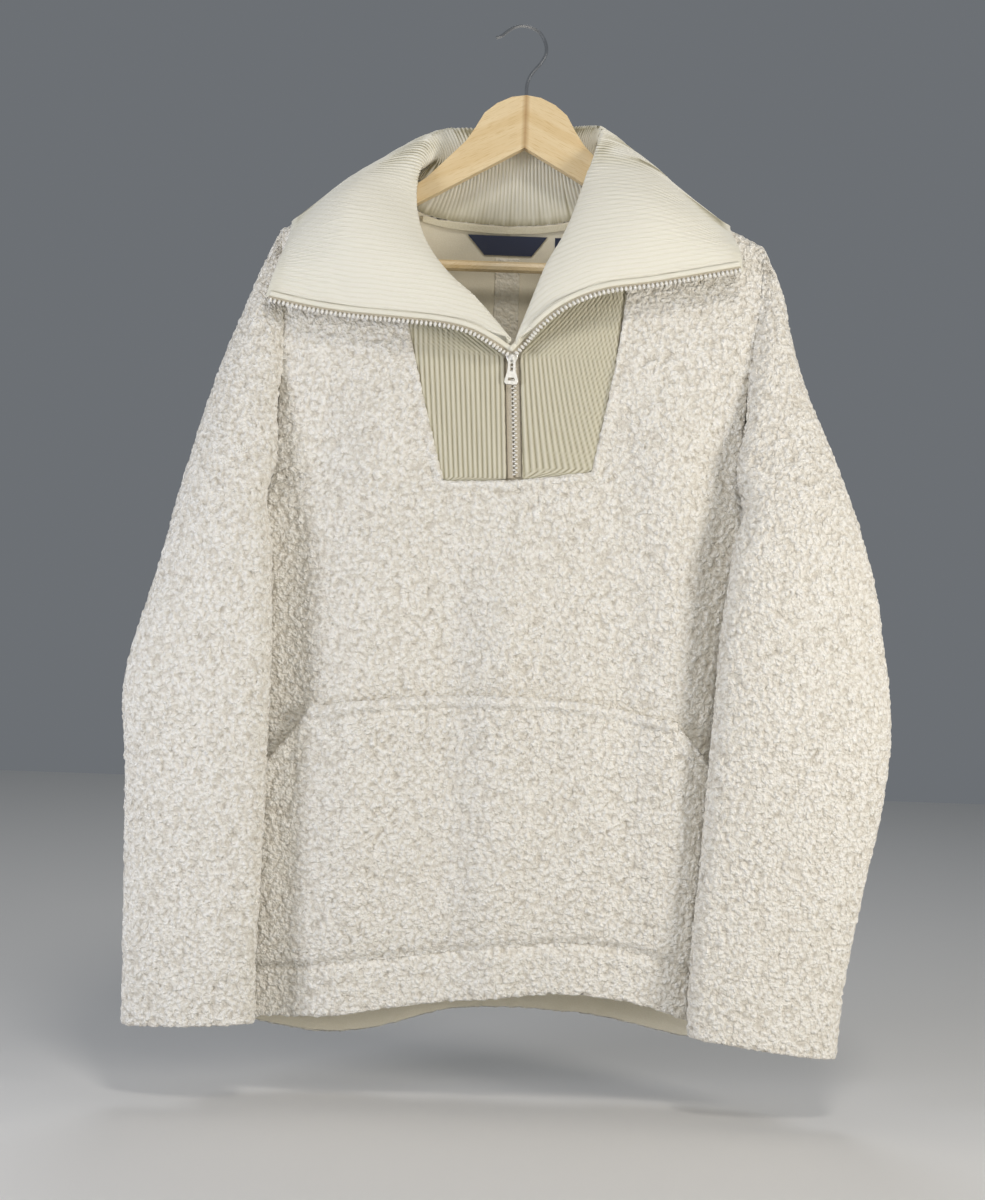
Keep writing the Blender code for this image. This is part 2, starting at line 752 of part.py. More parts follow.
def sleeve_grid(hand, columns, lower_rows, tree):
    """Middle surface of a sleeve: open rows down the armhole, then closed rings."""
    rows = SLEEVE_LEFT if hand == "left" else SLEEVE_RIGHT
    away = -1.0 if hand == "left" else 1.0
    front_seam = armhole_stations(hand, "front")
    back_seam = armhole_stations(hand, "back")
    crossing = over_shoulder(hand, "front")[::-1] + over_shoulder(hand, "back")[1:]
    crossing = [point + np.array((away * EXTRA_GAP, 0.0, 0.0)) for point in crossing]
    for seam, toward in ((front_seam, -1.0), (back_seam, 1.0)):
        for station in range(ARMHOLE_ROWS + 1):
            seam[station] = seam[station] + np.array((away * EXTRA_GAP, 0.0, 0.0))
            lap = LAP * ease((station / ARMHOLE_ROWS - LAP_START) / 0.3)
            lean = 0.8 * toward * (1 - ease((station / ARMHOLE_ROWS - 0.8) / 0.2))
            seam[station] = seam[station] + unit(np.array((away, lean, 0.0))) * lap
    grid = []
    first = []
    for column in range(columns + 1):
        place = column / columns * (len(crossing) - 1)
        cell = min(int(place), len(crossing) - 2)
        first.append(crossing[cell] + (crossing[cell + 1] - crossing[cell]) * (place - cell))
    grid.append(first)
    for front, back in zip(front_seam[1:], back_seam[1:]):
        start, end = seam_turns(front[2])
        near_front = sleeve_oval(rows, front[2], start)
        near_back = sleeve_oval(rows, front[2], end)
        row = []
        for column in range(columns + 1):
            share = column / columns
            point = sleeve_oval(rows, front[2], start + (end - start) * share)
            to_front = max(1 - share / 0.35, 0.0) ** 1.5
            to_back = max(1 - (1 - share) / 0.35, 0.0) ** 1.5
            point = point + to_front * (front - near_front) + to_back * (back - near_back)
            if share < 0.7:
                point = in_front_of_body(point)
            if 0 < column < columns:
                at_edge = 5.0 + 5.0 * ease((-350.0 - front[2]) / 60.0)
                point = keep_off(point, SLEEVE_CLEAR, tree, at_edge)
            row.append(point)
        row[0] = front
        row[-1] = back
        grid.append(row)
    underarm = front_seam[-1]
    lowest = float(rows["z"][-1])
    for level in range(1, lower_rows + 1):
        z = UNDERARM_Z + (lowest - UNDERARM_Z) * (level / lower_rows) ** 1.08
        turn = -seam_turns(z)[0]
        fold = sleeve_oval(rows, z, -turn)
        held = ease(1 - (UNDERARM_Z - z) / 120.0)
        row = []
        for column in range(columns + 1):
            share = column / columns
            point = sleeve_oval(rows, z, share - turn)
            pull = max(1 - min(share, 1 - share) / 0.25, 0.0) ** 1.5 * held
            shift = np.array((underarm[0] - fold[0], underarm[1] - fold[1], 0.0))
            point = point + pull * shift
            if share < 0.7 and pull < 0.5:
                point = in_front_of_body(point)
            row.append(keep_off(point, SLEEVE_CLEAR, tree))
        row[-1] = row[0]
        grid.append(row)
    return np.array(grid)


def sleeve_weld(row):
    return row >= ARMHOLE_ROWS


# --- front ------------------------------------------------------------------------------

def bib_foot(share):
    """The seam along the bib's lower edge, from its left corner to its right one."""
    left = (BIB_SIDE["left"][-1], BIB_SIDE["left_z"][-1])
    right = (BIB_SIDE["right"][-1], BIB_SIDE["right_z"][-1])
    x = left[0] + (right[0] - left[0]) * share
    z = left[1] + (right[1] - left[1]) * share - 14 * share * (1 - share)
    return x, z


# Stations of the front's grid across the bib: left half, zip channel, right half.
FOOT_SPAN = BIB_SIDE["right"][-1] - BIB_SIDE["left"][-1]
CHANNEL_LEFT = (ZIP_BOTTOM[0] - ZIP_CHANNEL - BIB_SIDE["left"][-1]) / FOOT_SPAN
CHANNEL_RIGHT = (ZIP_BOTTOM[0] + ZIP_CHANNEL - BIB_SIDE["left"][-1]) / FOOT_SPAN
FOOT_SHARES = np.concatenate((
    between(0, CHANNEL_LEFT, BIB_CELLS),
    between(CHANNEL_RIGHT, 1, BIB_CELLS),
))
NOTCH_ROW = ARMHOLE_ROWS + 1


def bib_side_point(hand, share):
    """A point down the bib's side seam; 0 is the neck point."""
    x = float(follow(BIB_SIDE["share"], BIB_SIDE[hand], share))
    z = float(follow(BIB_SIDE["share"], BIB_SIDE[hand + "_z"], share))
    return x, min(z, shoulder_height(x))


def armhole_ends(hand, side):
    """Places of the armhole seam, row by row: over the arm, then down to the underarm."""
    x_top = float(ARMHOLE[hand + "_" + side][0])
    top = shoulder_height(x_top)
    heights = between(ARMHOLE["z"][0], ARMHOLE["z"][-1], ARMHOLE_ROWS)
    seams = follow(-ARMHOLE["z"], ARMHOLE[hand + "_" + side], -heights)
    middle = top - 0.3 * (top - ARMHOLE["z"][0])
    return [(x_top, top), (x_top, middle)] + [(float(x), float(z)) for x, z in zip(seams, heights)]


def shoulder_row(outer, inner, cells, row):
    """Places of one row between the armhole and the neck, closer at the armhole low down."""
    near_side = 0.7 * ease((row - 4) / (NOTCH_ROW - 4))
    shares = [
        even * (1 - near_side) + curved * near_side
        for even, curved in zip(between(0, 1, cells), side_shares(cells))
    ]
    return [
        (outer[0] + (inner[0] - outer[0]) * share, outer[1] + (inner[1] - outer[1]) * share)
        for share in shares
    ]


def bib_side_ends(hand):
    """Places down the bib's side seam for the rows of the front."""
    top = bib_side_point(hand, 0.0)
    shares = BIB_SIDE["share"]
    fall = -BIB_SIDE[hand + "_z"]
    ends = [top]
    for drop in (0.3 * OVER_ARM_DROP, OVER_ARM_DROP):
        ends.append(bib_side_point(hand, float(np.interp(drop - top[1], fall, shares))))
    start = float(np.interp(OVER_ARM_DROP - top[1], fall, shares))
    for share in between(start, 1.0, NOTCH_ROW - 2)[1:]:
        ends.append(bib_side_point(hand, float(share)))
    return ends


def lower_rows(under_row, side):
    """Places from the underarm to the hem, the columns closer at the sides."""
    columns = len(under_row) - 1
    left = CHEST_CENTRE - CHEST_HALF
    right = CHEST_CENTRE + CHEST_HALF
    start, end = under_row[0][0], under_row[-1][0]
    shares = [(x - start) / (end - start) for x, z in under_row]
    rows = []
    for level in range(BODY_ROWS + 1):
        row = []
        for column, share in enumerate(shares):
            x = left + (right - left) * share
            foot = float(follow(HEM["x"], HEM[side], x))
            row.append((x, UNDERARM_Z + (foot - UNDERARM_Z) * level / BODY_ROWS))
        rows.append(row)
    return rows


def side_shares(count):
    """Shares across half the body from its side, closer where the cloth turns away."""
    return [1 - math.sin((1 - k / count) * math.pi / 2) for k in range(count + 1)]


def front_plan():
    """Places of the front's grid, row by row from the shoulders to the hem."""
    outer = {hand: armhole_ends(hand, "front") for hand in ("left", "right")}
    inner = {hand: bib_side_ends(hand) for hand in ("left", "right")}
    rows = []
    for row in range(NOTCH_ROW + 1):
        left = shoulder_row(outer["left"][row], inner["left"][row], SHOULDER_CELLS, row)
        right = shoulder_row(outer["right"][row], inner["right"][row], SHOULDER_CELLS, row)[::-1]
        middle = []
        for share in FOOT_SHARES[1:-1]:
            if row == NOTCH_ROW:
                middle.append(bib_foot(float(share)))
            else:
                middle.append((
                    left[-1][0] + (right[0][0] - left[-1][0]) * share,
                    left[-1][1] + (right[0][1] - left[-1][1]) * share,
                ))
        rows.append(left + middle + right)
    left_x = CHEST_CENTRE - CHEST_HALF
    corner_left = BIB_SIDE["left"][-1]
    corner_right = BIB_SIDE["right"][-1]
    turn = side_shares(SHOULDER_CELLS)
    left = [(left_x + (corner_left - left_x) * share, UNDERARM_Z) for share in turn]
    right_x = CHEST_CENTRE + CHEST_HALF
    right = [(right_x + (corner_right - right_x) * share, UNDERARM_Z) for share in turn][::-1]
    middle = [
        (corner_left + (corner_right - corner_left) * float(share), UNDERARM_Z)
        for share in FOOT_SHARES[1:-1]
    ]
    return rows + lower_rows(left + middle + right, "front")


def panel_surface(plan, side):
    points = []
    normals = []
    for row in plan:
        for x, z in row:
            points.append(body_point(float(x), float(z), side))
            normals.append(body_normal(float(x), float(z), side))
    return np.array(points), np.array(normals)


front_rows = front_plan()
front_columns = len(front_rows[0]) - 1
front_points, front_normals = panel_surface(front_rows, "front")
notch = {
    (row, column)
    for row in range(NOTCH_ROW)
    for column in range(SHOULDER_CELLS, front_columns - SHOULDER_CELLS)
}
front_faces = grid_faces(len(front_rows) - 1, front_columns, skip=notch)
front_faces = [tuple(reversed(face)) for face in front_faces]
FRONT_GRID = front_points.reshape(len(front_rows), front_columns + 1, 3)


# --- backs ------------------------------------------------------------------------------

BACK_CELLS = 12
BACK_SHOULDER = 6


def back_plan(hand):
    """Places of half the back, from the armhole to the centre-back seam."""
    outer = armhole_ends(hand, "back")
    centre = -5.0
    point = BACK_NECK["x"][0] if hand == "left" else BACK_NECK["x"][-1]
    rows = []
    near = point + math.copysign(4.5, centre - point)
    steps = BACK_SHOULDER - 2
    necks = [point, point + (near - point) / 3]
    necks += [near + (centre - near) * k / steps for k in range(steps + 1)]
    neck_z = [min(float(follow(BACK_NECK["x"], BACK_NECK["z"], x)), shoulder_height(x)) for x in necks]
    cells = BACK_CELLS - BACK_SHOULDER
    for row in range(NOTCH_ROW + 1):
        down = row / NOTCH_ROW
        end = outer[row]
        places = []
        for column in range(cells):
            share = column / cells
            if row <= 2:
                x = end[0] + (point - end[0]) * share
                drop = shoulder_height(end[0]) - end[1]
                z = shoulder_height(x) - drop
            else:
                x = end[0] + (point - end[0]) * share
                z_top = shoulder_height(x) - OVER_ARM_DROP
                part = (end[1] - outer[2][1]) / (UNDERARM_Z - outer[2][1])
                z = z_top + (UNDERARM_Z - z_top) * part
            places.append((x, z))
        for x, z_neck in zip(necks, neck_z):
            part = (outer[0][1] - end[1]) / (outer[0][1] - UNDERARM_Z)
            places.append((x, z_neck + (UNDERARM_Z - z_neck) * part))
        blend = ease((row - 2) / (NOTCH_ROW - 1)) if row > 2 else 0.0
        low_x = [end[0] + (centre - end[0]) * share for share in side_shares(BACK_CELLS)]
        places = [
            (x + (lower - x) * blend, z) for (x, z), lower in zip(places, low_x)
        ]
        rows.append(places)
    side_x = CHEST_CENTRE + (-CHEST_HALF if hand == "left" else CHEST_HALF)
    under = [(side_x + (centre - side_x) * share, UNDERARM_Z) for share in side_shares(BACK_CELLS)]
    for level in range(BODY_ROWS + 1):
        row = []
        for x, z in under:
            foot = float(follow(HEM["x"], HEM["back"], x))
            row.append((x, UNDERARM_Z + (foot - UNDERARM_Z) * level / BODY_ROWS))
        rows.append(row)
    return rows


BACKS = {}
for hand in ("left", "right"):
    rows = back_plan(hand)
    points, normals = panel_surface(rows, "back")
    faces = grid_faces(len(rows) - 1, BACK_CELLS)
    if hand == "right":
        faces = [tuple(reversed(face)) for face in faces]
    BACKS[hand] = (points, normals, faces)


# --- sleeves and walls of the body --------------------------------------------------------

def nearest_tree(*surfaces):
    """A search tree over middle surfaces whose faces look outward."""
    corners = []
    faces = []
    for points, quads in surfaces:
        faces += [tuple(corner + len(corners) for corner in quad) for quad in quads]
        corners += [tuple(point) for point in points]
    return BVHTree.FromPolygons(corners, faces)


BODY_TREE = nearest_tree(
    (front_points, front_faces), *((part[0], part[2]) for part in BACKS.values())
)
SLEEVES = {}
for hand in ("left", "right"):
    surface = sleeve_grid(hand, SLEEVE_COLUMNS, SLEEVE_ROWS, BODY_TREE)
    row_count = len(surface) - 1
    quads = grid_faces(row_count, SLEEVE_COLUMNS, weld=sleeve_weld)
    if hand == "right":
        quads = [tuple(reversed(quad)) for quad in quads]
    flat_points = surface.reshape(-1, 3)
    SLEEVES[hand] = (flat_points, smooth_normals(flat_points, quads), quads)


def share_normals(first, first_index, second, second_index):
    """Gives two walls that meet at a seam one common direction there."""
    mean = unit(first[first_index] + second[second_index])
    first[first_index] = mean
    second[second_index] = mean


def join_armhole(hand, side, body_points, body_faces, body_normals, column, columns):
    """Shared directions along half an armhole, for the sleeve and the front or back."""
    points, normals, quads = SLEEVES[hand]
    facets = smooth_normals(body_points, body_faces)
    edge = 0 if side == "front" else SLEEVE_COLUMNS
    for station in range(ARMHOLE_ROWS + 1):
        if station / ARMHOLE_ROWS > LAP_START + 0.2:
            break
        own = (station + 2) * (columns + 1) + column
        index = station * (SLEEVE_COLUMNS + 1) + edge
        body_normals[own] = facets[own]
        share_normals(body_normals, own, normals, index)
    quarter = SLEEVE_COLUMNS // 4
    for row, index in ((0, 2 * quarter), (1, quarter if side == "front" else 3 * quarter)):
        own = row * (columns + 1) + column
        share_normals(body_normals, own, normals, index)
        if row == 0:
            normals[index] = unit(normals[index] * (1, 0, 1))
            body_normals[own] = normals[index]


for hand, column in (("left", 0), ("right", front_columns)):
    join_armhole(hand, "front", front_points, front_faces, front_normals, column, front_columns)
    points, normals, faces = BACKS[hand]
    join_armhole(hand, "back", points, faces, normals, 0, BACK_CELLS)
    front_normals[column] = normals[0]
    sleeve_normals = SLEEVES[hand][1]
    quarter = SLEEVE_COLUMNS // 4
    for index in range(SLEEVE_COLUMNS):
        low = index - index % quarter
        part = (index - low) / quarter
        nearer = sleeve_normals[low] * (1 - part)
        sleeve_normals[index] = nearer + sleeve_normals[low + quarter] * part
add_wall("front", front_points, front_normals, front_faces, FLEECE, FLEECE_CLOTH)
for hand, (points, normals, faces) in BACKS.items():
    add_wall("back_" + hand, points, normals, faces, FLEECE, FLEECE_CLOTH)
for hand, (points, normals, faces) in SLEEVES.items():
    add_wall("sleeve_" + hand, points, normals, faces, FLEECE, FLEECE_CLOTH)


# --- pocket -----------------------------------------------------------------------------

POCKET_COLUMNS = 18
POCKET_ROWS = 9


def pocket_place(u, v):
    """A place on the pocket: u across from its left side, v down from its upper edge."""
    left = [float(follow(POCKET_SIDE["share"], POCKET_SIDE[key], v)) for key in ("left", "left_z")]
    right = [float(follow(POCKET_SIDE["share"], POCKET_SIDE[key], v)) for key in ("right", "right_z")]
    top_x = POCKET_TOP["x"][0] + (POCKET_TOP["x"][-1] - POCKET_TOP["x"][0]) * u
    foot_x = POCKET_FOOT["x"][0] + (POCKET_FOOT["x"][-1] - POCKET_FOOT["x"][0]) * u
    top = float(follow(POCKET_TOP["x"], POCKET_TOP["z"], top_x))
    foot = float(follow(POCKET_FOOT["x"], POCKET_FOOT["z"], foot_x))
    x = left[0] + (right[0] - left[0]) * u
    level = top + (foot - top) * v
    sides = left[1] + (right[1] - left[1]) * u
    chord = (POCKET_TOP["z"][0] * (1 - u) + POCKET_TOP["z"][-1] * u) * (1 - v)
    chord += (POCKET_FOOT["z"][0] * (1 - u) + POCKET_FOOT["z"][-1] * u) * v
    return x, sides + level - chord


pocket_points = []
pocket_normals = []
for row in range(POCKET_ROWS + 1):
    for column in range(POCKET_COLUMNS + 1):
        u = 0.5 - 0.5 * math.cos(math.pi * column / POCKET_COLUMNS)
        u = 0.6 * u + 0.4 * column / POCKET_COLUMNS
        x, z = pocket_place(u, row / POCKET_ROWS)
        out = body_normal(x, z, "front")
        stand = FLEECE + 1.2 + 3.5 * math.sin(math.pi * u) ** 0.5 * (1 - row / POCKET_ROWS)
        stand += fold_height(POCKET_FOLDS, x, z)
        place = body_point(x, z, "front") + out * max(stand, FLEECE + 3.0)
        pocket_points.append(keep_off(place, FLEECE + 3.0, BODY_TREE))
        pocket_normals.append(out)
pocket_faces = [tuple(reversed(face)) for face in grid_faces(POCKET_ROWS, POCKET_COLUMNS)]
add_wall(
    "pocket", np.array(pocket_points), np.array(pocket_normals), pocket_faces, FLEECE, FLEECE_CLOTH
)


# --- bib --------------------------------------------------------------------------------

BIB_COLUMNS = {"left": 6, "right": 5}
BIB_ROWS = 5


def neck_line(hand):
    """Points of the front neck seam, from the zip to the neck point."""
    x = FRONT_NECK[hand]
    z = FRONT_NECK[hand + "_z"]
    return [
        (float(follow(FRONT_NECK["share"], x, s)), float(follow(FRONT_NECK["share"], z, s)))
        for s in between(0, 1, 16)
    ]


def height_on(line, x):
    """Height of a line of places where it passes a given x."""
    xs = np.array([place[0] for place in line])
    zs = np.array([place[1] for place in line])
    order = np.argsort(xs)
    return float(np.interp(x, xs[order], zs[order]))


def bib_lower_line(hand):
    """The front's own seam below the bib, from the zip to the neck point."""
    middle = SHOULDER_CELLS + BIB_CELLS
    if hand == "left":
        foot = [FRONT_GRID[NOTCH_ROW, k] for k in range(middle, SHOULDER_CELLS - 1, -1)]
        side = [FRONT_GRID[k, SHOULDER_CELLS] for k in range(NOTCH_ROW - 1, -1, -1)]
    else:
        last = front_columns - SHOULDER_CELLS
        foot = [FRONT_GRID[NOTCH_ROW, k] for k in range(middle + 1, last + 1)]
        side = [FRONT_GRID[k, last] for k in range(NOTCH_ROW - 1, -1, -1)]
    return [(float(p[0]), float(p[2])) for p in foot + side]


BIB_EDGES = {}
BIB_SURFACES = []
for hand in ("left", "right"):
    lower = bib_lower_line(hand)
    upper = neck_line(hand)
    corner = BIB_SIDE[hand][-1]
    near = lower[0][0]
    far = lower[-1][0]
    inner_count = 3
    stations = list(between(near, corner, inner_count))
    stations += list(between(corner, far + (corner - far) * 0.06, BIB_COLUMNS[hand] - inner_count))[1:]
    points = []
    for row in range(BIB_ROWS + 1):
        share = row / BIB_ROWS
        for k, x in enumerate(stations):
            low = height_on(lower, x)
            high = max(height_on(upper, x if k else upper[0][0]) - 4.0, low + 4.0)
            reach = 0.0 if k else upper[0][0] - near
            points.append((x + reach * share, low + (high - low) * share))
    columns = len(stations) - 1
    surface = np.array([body_point(x, z, "front") for x, z in points])
    outs = np.array([body_normal(x, z, "front") for x, z in points])
    flip = -1 if hand == "left" else 1
    grid = surface.reshape(BIB_ROWS + 1, columns + 1, 3)
    outs_grid = outs.reshape(BIB_ROWS + 1, columns + 1, 3)
    if hand == "left":
        grid = grid[:, ::-1]
        outs_grid = outs_grid[:, ::-1]
    BIB_EDGES[hand] = grid[:, -1 if hand == "left" else 0]
    BIB_SURFACES.append((grid.reshape(-1, 3), grid_faces(BIB_ROWS, columns)))
    add_ribbed_wall(
        "bib_" + hand,
        grid.reshape(-1, 3),
        outs_grid.reshape(-1, 3),
        BIB_ROWS,
        columns,
        1,
        RIB_CLOTH,
    )


# --- collar -----------------------------------------------------------------------------

NECK_LEFT_AT = 6.0
NECK_RIGHT_AT = 16.0


def neck_seam(at):
    """The collar's seam: up the left front, round the back, down the right front."""
    if at <= NECK_LEFT_AT:
        share = at / NECK_LEFT_AT
        x = float(follow(FRONT_NECK["share"], FRONT_NECK["left"], share))
        z = float(follow(FRONT_NECK["share"], FRONT_NECK["left_z"], share))
        side = "front"
    elif at >= NECK_RIGHT_AT:
        share = (22.0 - at) / (22.0 - NECK_RIGHT_AT)
        x = float(follow(FRONT_NECK["share"], FRONT_NECK["right"], share))
        z = float(follow(FRONT_NECK["share"], FRONT_NECK["right_z"], share))
        side = "front"
    else:
        share = (at - NECK_LEFT_AT) / (NECK_RIGHT_AT - NECK_LEFT_AT)
        x = BACK_NECK["x"][0] + (BACK_NECK["x"][-1] - BACK_NECK["x"][0]) * share
        z = float(follow(BACK_NECK["x"], BACK_NECK["z"], x))
        side = "back"
    z = min(z, shoulder_height(x))
    return body_point(x, z, side)


def collar_point(at, along):
    """A point of the collar; along runs seam (0), roll (1), fall (2), edge (3)."""
    ctrl = [neck_seam(at)]
    for part in ("roll", "fall", "edge"):
        ctrl.append(np.array([
            float(follow(COLLAR["at"], COLLAR[part + "_" + axis], at)) for axis in "xyz"
        ]))
    return follow(np.arange(4.0), np.array(ctrl), np.array([along]))[0]


def keep_off_wood(point, wanted):
    """Moves a point clear of the hanger's arms, which pass below the collar."""
    top = float(np.interp(abs(point[0] - AXIS_X), WOOD_UPPER["x"], WOOD_UPPER["z"]))
    if abs(point[0] - AXIS_X) > ARM_START:
        top = ARM_START_Z - ARM_SLOPE * (abs(point[0] - AXIS_X) - ARM_START)
    across = abs(point[1]) - WOOD_THICK / 2
    if across < wanted - 2.0:
        return np.array((point[0], point[1], max(point[2], top + wanted)))
    if point[1] < 0 and across < wanted + 1.0 and point[2] < top + 2.0:
        aside = math.copysign(WOOD_THICK / 2 + wanted + 1.0, point[1])
        return np.array((point[0], aside, point[2]))
    return point


def seam_polyline():
    """The body's own points along the neck seam at the back, from left to right."""
    left_points = BACKS["left"][0].reshape(-1, BACK_CELLS + 1, 3)[0, BACK_CELLS - BACK_SHOULDER :]
    right_points = BACKS["right"][0].reshape(-1, BACK_CELLS + 1, 3)[0, BACK_CELLS - BACK_SHOULDER :]
    return np.array(list(left_points) + list(right_points[::-1][1:]))


BACK_SEAM = seam_polyline()
collar_at = list(between(0, NECK_LEFT_AT, 10))
collar_at += list(between(NECK_LEFT_AT, NECK_RIGHT_AT, 24))[1:]
collar_at += list(between(NECK_RIGHT_AT, 22.0, 10))[1:]
CLOTH_TREE = nearest_tree(
    (front_points, front_faces),
    *BIB_SURFACES,
    *((part[0], part[2]) for part in BACKS.values()),
    *((part[0], part[2]) for part in SLEEVES.values()),
)
collar_rows = len(COLLAR_ROWS) - 1
collar_columns = len(collar_at) - 1
collar_points = np.zeros((collar_rows + 1, collar_columns + 1, 3))
for column, at in enumerate(collar_at):
    stand = collar_point(at, 0.5)
    for row, along in enumerate(COLLAR_ROWS):
        point = collar_point(at, along)
        if row == 0:
            if 10 <= column <= 34:
                place = (column - 10) / 2
                cell = min(int(place), len(BACK_SEAM) - 2)
                part = place - cell
                point = BACK_SEAM[cell] * (1 - part) + BACK_SEAM[cell + 1] * part
            near = max(math.exp(-(((at - k) / 1.2) ** 2)) for k in (NECK_LEFT_AT, NECK_RIGHT_AT))
            lift = 7.0 * near + (2.0 if at < 5.5 or at > 16.5 else 0.0)
            point = point + unit(stand - point) * lift
        else:
            point = keep_off_wood(point, 5.6)
        collar_points[row, column] = point
for _ in range(6):
    smooth = collar_points.copy()
    for row in (1, 2, 3):
        smooth[row, 4:-4] = (
            collar_points[row, 3:-5] + 2 * collar_points[row, 4:-4] + collar_points[row, 5:-3]
        ) / 4
        smooth[row, 4:-4] += (
            collar_points[row - 1, 4:-4] - 2 * collar_points[row, 4:-4] + collar_points[row + 1, 4:-4]
        ) / 8
    collar_points = smooth
    for row in (0, 1, 2, 3, 4):
        for column in range(collar_columns + 1):
            lift = 6.6 if row else 6.4
            collar_points[row, column] = keep_off_wood(collar_points[row, column], lift)
OVER_CLOTH = FLEECE / 2 + RIB_KNIT / 2 + RIB_RELIEF + 1.4
for round_number in range(3):
    moved = collar_points.copy()
    for row, along in enumerate(COLLAR_ROWS):
        if along > 1.3:
            for column in range(collar_columns + 1):
                moved[row, column] = keep_off(collar_points[row, column], OVER_CLOTH, CLOTH_TREE)
    step = moved - collar_points
    if round_number < 2:
        spread = step.copy()
        spread[:, 1:-1] = (step[:, :-2] + 2 * step[:, 1:-1] + step[:, 2:]) / 4
        spread[4:-1] = (spread[3:-2] + 2 * spread[4:-1] + spread[5:]) / 4
        step = spread
    collar_points += step
flat_points = collar_points.reshape(-1, 3)
collar_faces = grid_faces(collar_rows, collar_columns)
collar_normals = smooth_normals(flat_points, collar_faces)
for column, at in enumerate(collar_at):
    x, y, z = flat_points[column]
    out = body_normal(float(x), float(min(z, shoulder_height(x))), "back" if 10 <= column <= 34 else "front")
    if out @ collar_normals[column] > -0.95:
        collar_normals[column] = unit(collar_normals[column] - out)
add_ribbed_wall(
    "collar", flat_points, collar_normals, collar_rows, collar_columns, 1, RIB_CLOTH
)


# --- zip --------------------------------------------------------------------------------

TAPE_WIDTH = 5.2
TAPE_DEPTH = 1.0
SLIDER_Z = -303.0
SLIDER_WIDE = 10.6
SLIDER_TALL = 9.0
SLIDER_THICK = 4.0
BRIDGE_WIDE = 2.4
BRIDGE_BAR = 1.2
PULL_LONG = 24.0
PULL_THICK = 1.6
PULL_BAR = 1.4
SLOT_LONG = 3.6
SLOT_WIDE = 3.6


def strip(edge, outs, faces_out, near, far):
    """A narrow wall beside an edge: its middle surface, and the direction that it faces."""
    points = []
    normals = []
    for place, out, face in zip(edge, outs, faces_out):
        for reach in (near, far):
            points.append(place + out * reach)
            normals.append(face)
    return np.array(points), np.array(normals)


tape_y = {}
for hand in ("left", "right"):
    edge = BIB_EDGES[hand]
    inward = 1.0 if hand == "left" else -1.0
    outs = [np.array((inward, 0.0, 0.0)) for _ in edge]
    faces_out = [body_normal(float(p[0]), float(p[2]), "front") for p in edge]
    sunk = [p - n * TAPE_DEPTH for p, n in zip(edge, faces_out)]
    sunk[0] = sunk[0] + np.array((0.0, 0.0, 3.0))
    points, normals = strip(sunk, outs, faces_out, 0.55, 0.55 + TAPE_WIDTH)
    quads = grid_faces(len(edge) - 1, 1)
    if hand == "right":
        quads = [tuple(reversed(quad)) for quad in quads]
    add_wall("zip_tape_" + hand, points, normals, quads, TAPE, TAPE_CLOTH)
    tape_y[hand] = float(points[-1][1])

for hand in ("left", "right"):
    column, inner = (0, 1) if hand == "left" else (collar_columns, collar_columns - 1)
    first_row = 5
    edge = collar_points[first_row:, column]
    outs = [unit(edge[k] - collar_points[first_row + k, inner]) for k in range(len(edge))]
    faces_out = [
        collar_normals[(first_row + k) * (collar_columns + 1) + column] for k in range(len(edge))
    ]
    points, normals = strip(edge, outs, faces_out, 0.5, 6.0)
    points = np.array([keep_off(point, FLEECE / 2 + TAPE / 2 + 1.6, CLOTH_TREE) for point in points])
    quads = grid_faces(len(edge) - 1, 1)
    if hand == "left":
        quads = [tuple(reversed(quad)) for quad in quads]
    add_wall("zip_edge_" + hand, points, normals, quads, TAPE, TAPE_CLOTH)

slider_back = min(tape_y.values()) - TAPE / 2 - 1.4
slider_y = slider_back - SLIDER_THICK / 2
slider_front = slider_back - SLIDER_THICK
centre_x = ZIP_TOP[0]
wide, tall = SLIDER_WIDE / 2, SLIDER_TALL / 2
slider_outline = [
    (centre_x + x, SLIDER_Z + z)
    for x, z in (
        (-wide, tall - 1.5), (-wide + 1.5, tall), (wide - 1.5, tall), (wide, tall - 1.5),
        (wide - 1.8, -tall + 1.5), (wide - 3.0, -tall), (-wide + 3.0, -tall), (-wide + 1.8, -tall + 1.5),
    )
]
slider = add_plate("zip_slider", slider_outline, SLIDER_THICK, ZIP_METAL, centre_y=slider_y)
hinge = np.array((centre_x, slider_front - 1.7, SLIDER_Z + 0.8))


def add_loft(name, profile, half_width, material):
    """A piece of even width along X from a closed profile of (y, z) places."""
    count = len(profile)
    points = [(centre_x - half_width, y, z) for y, z in profile]
    points += [(centre_x + half_width, y, z) for y, z in profile]
    faces = [tuple(range(count)), tuple(reversed(range(count, 2 * count)))]
    faces += [(k, k + count, (k + 1) % count + count, (k + 1) % count) for k in range(count)]
    piece = add_mesh(name, points, faces, material)
    fixed = bmesh.new()
    fixed.from_mesh(piece.data)
    bmesh.ops.recalc_face_normals(fixed, faces=fixed.faces)
    fixed.to_mesh(piece.data)
    fixed.free()
    return piece


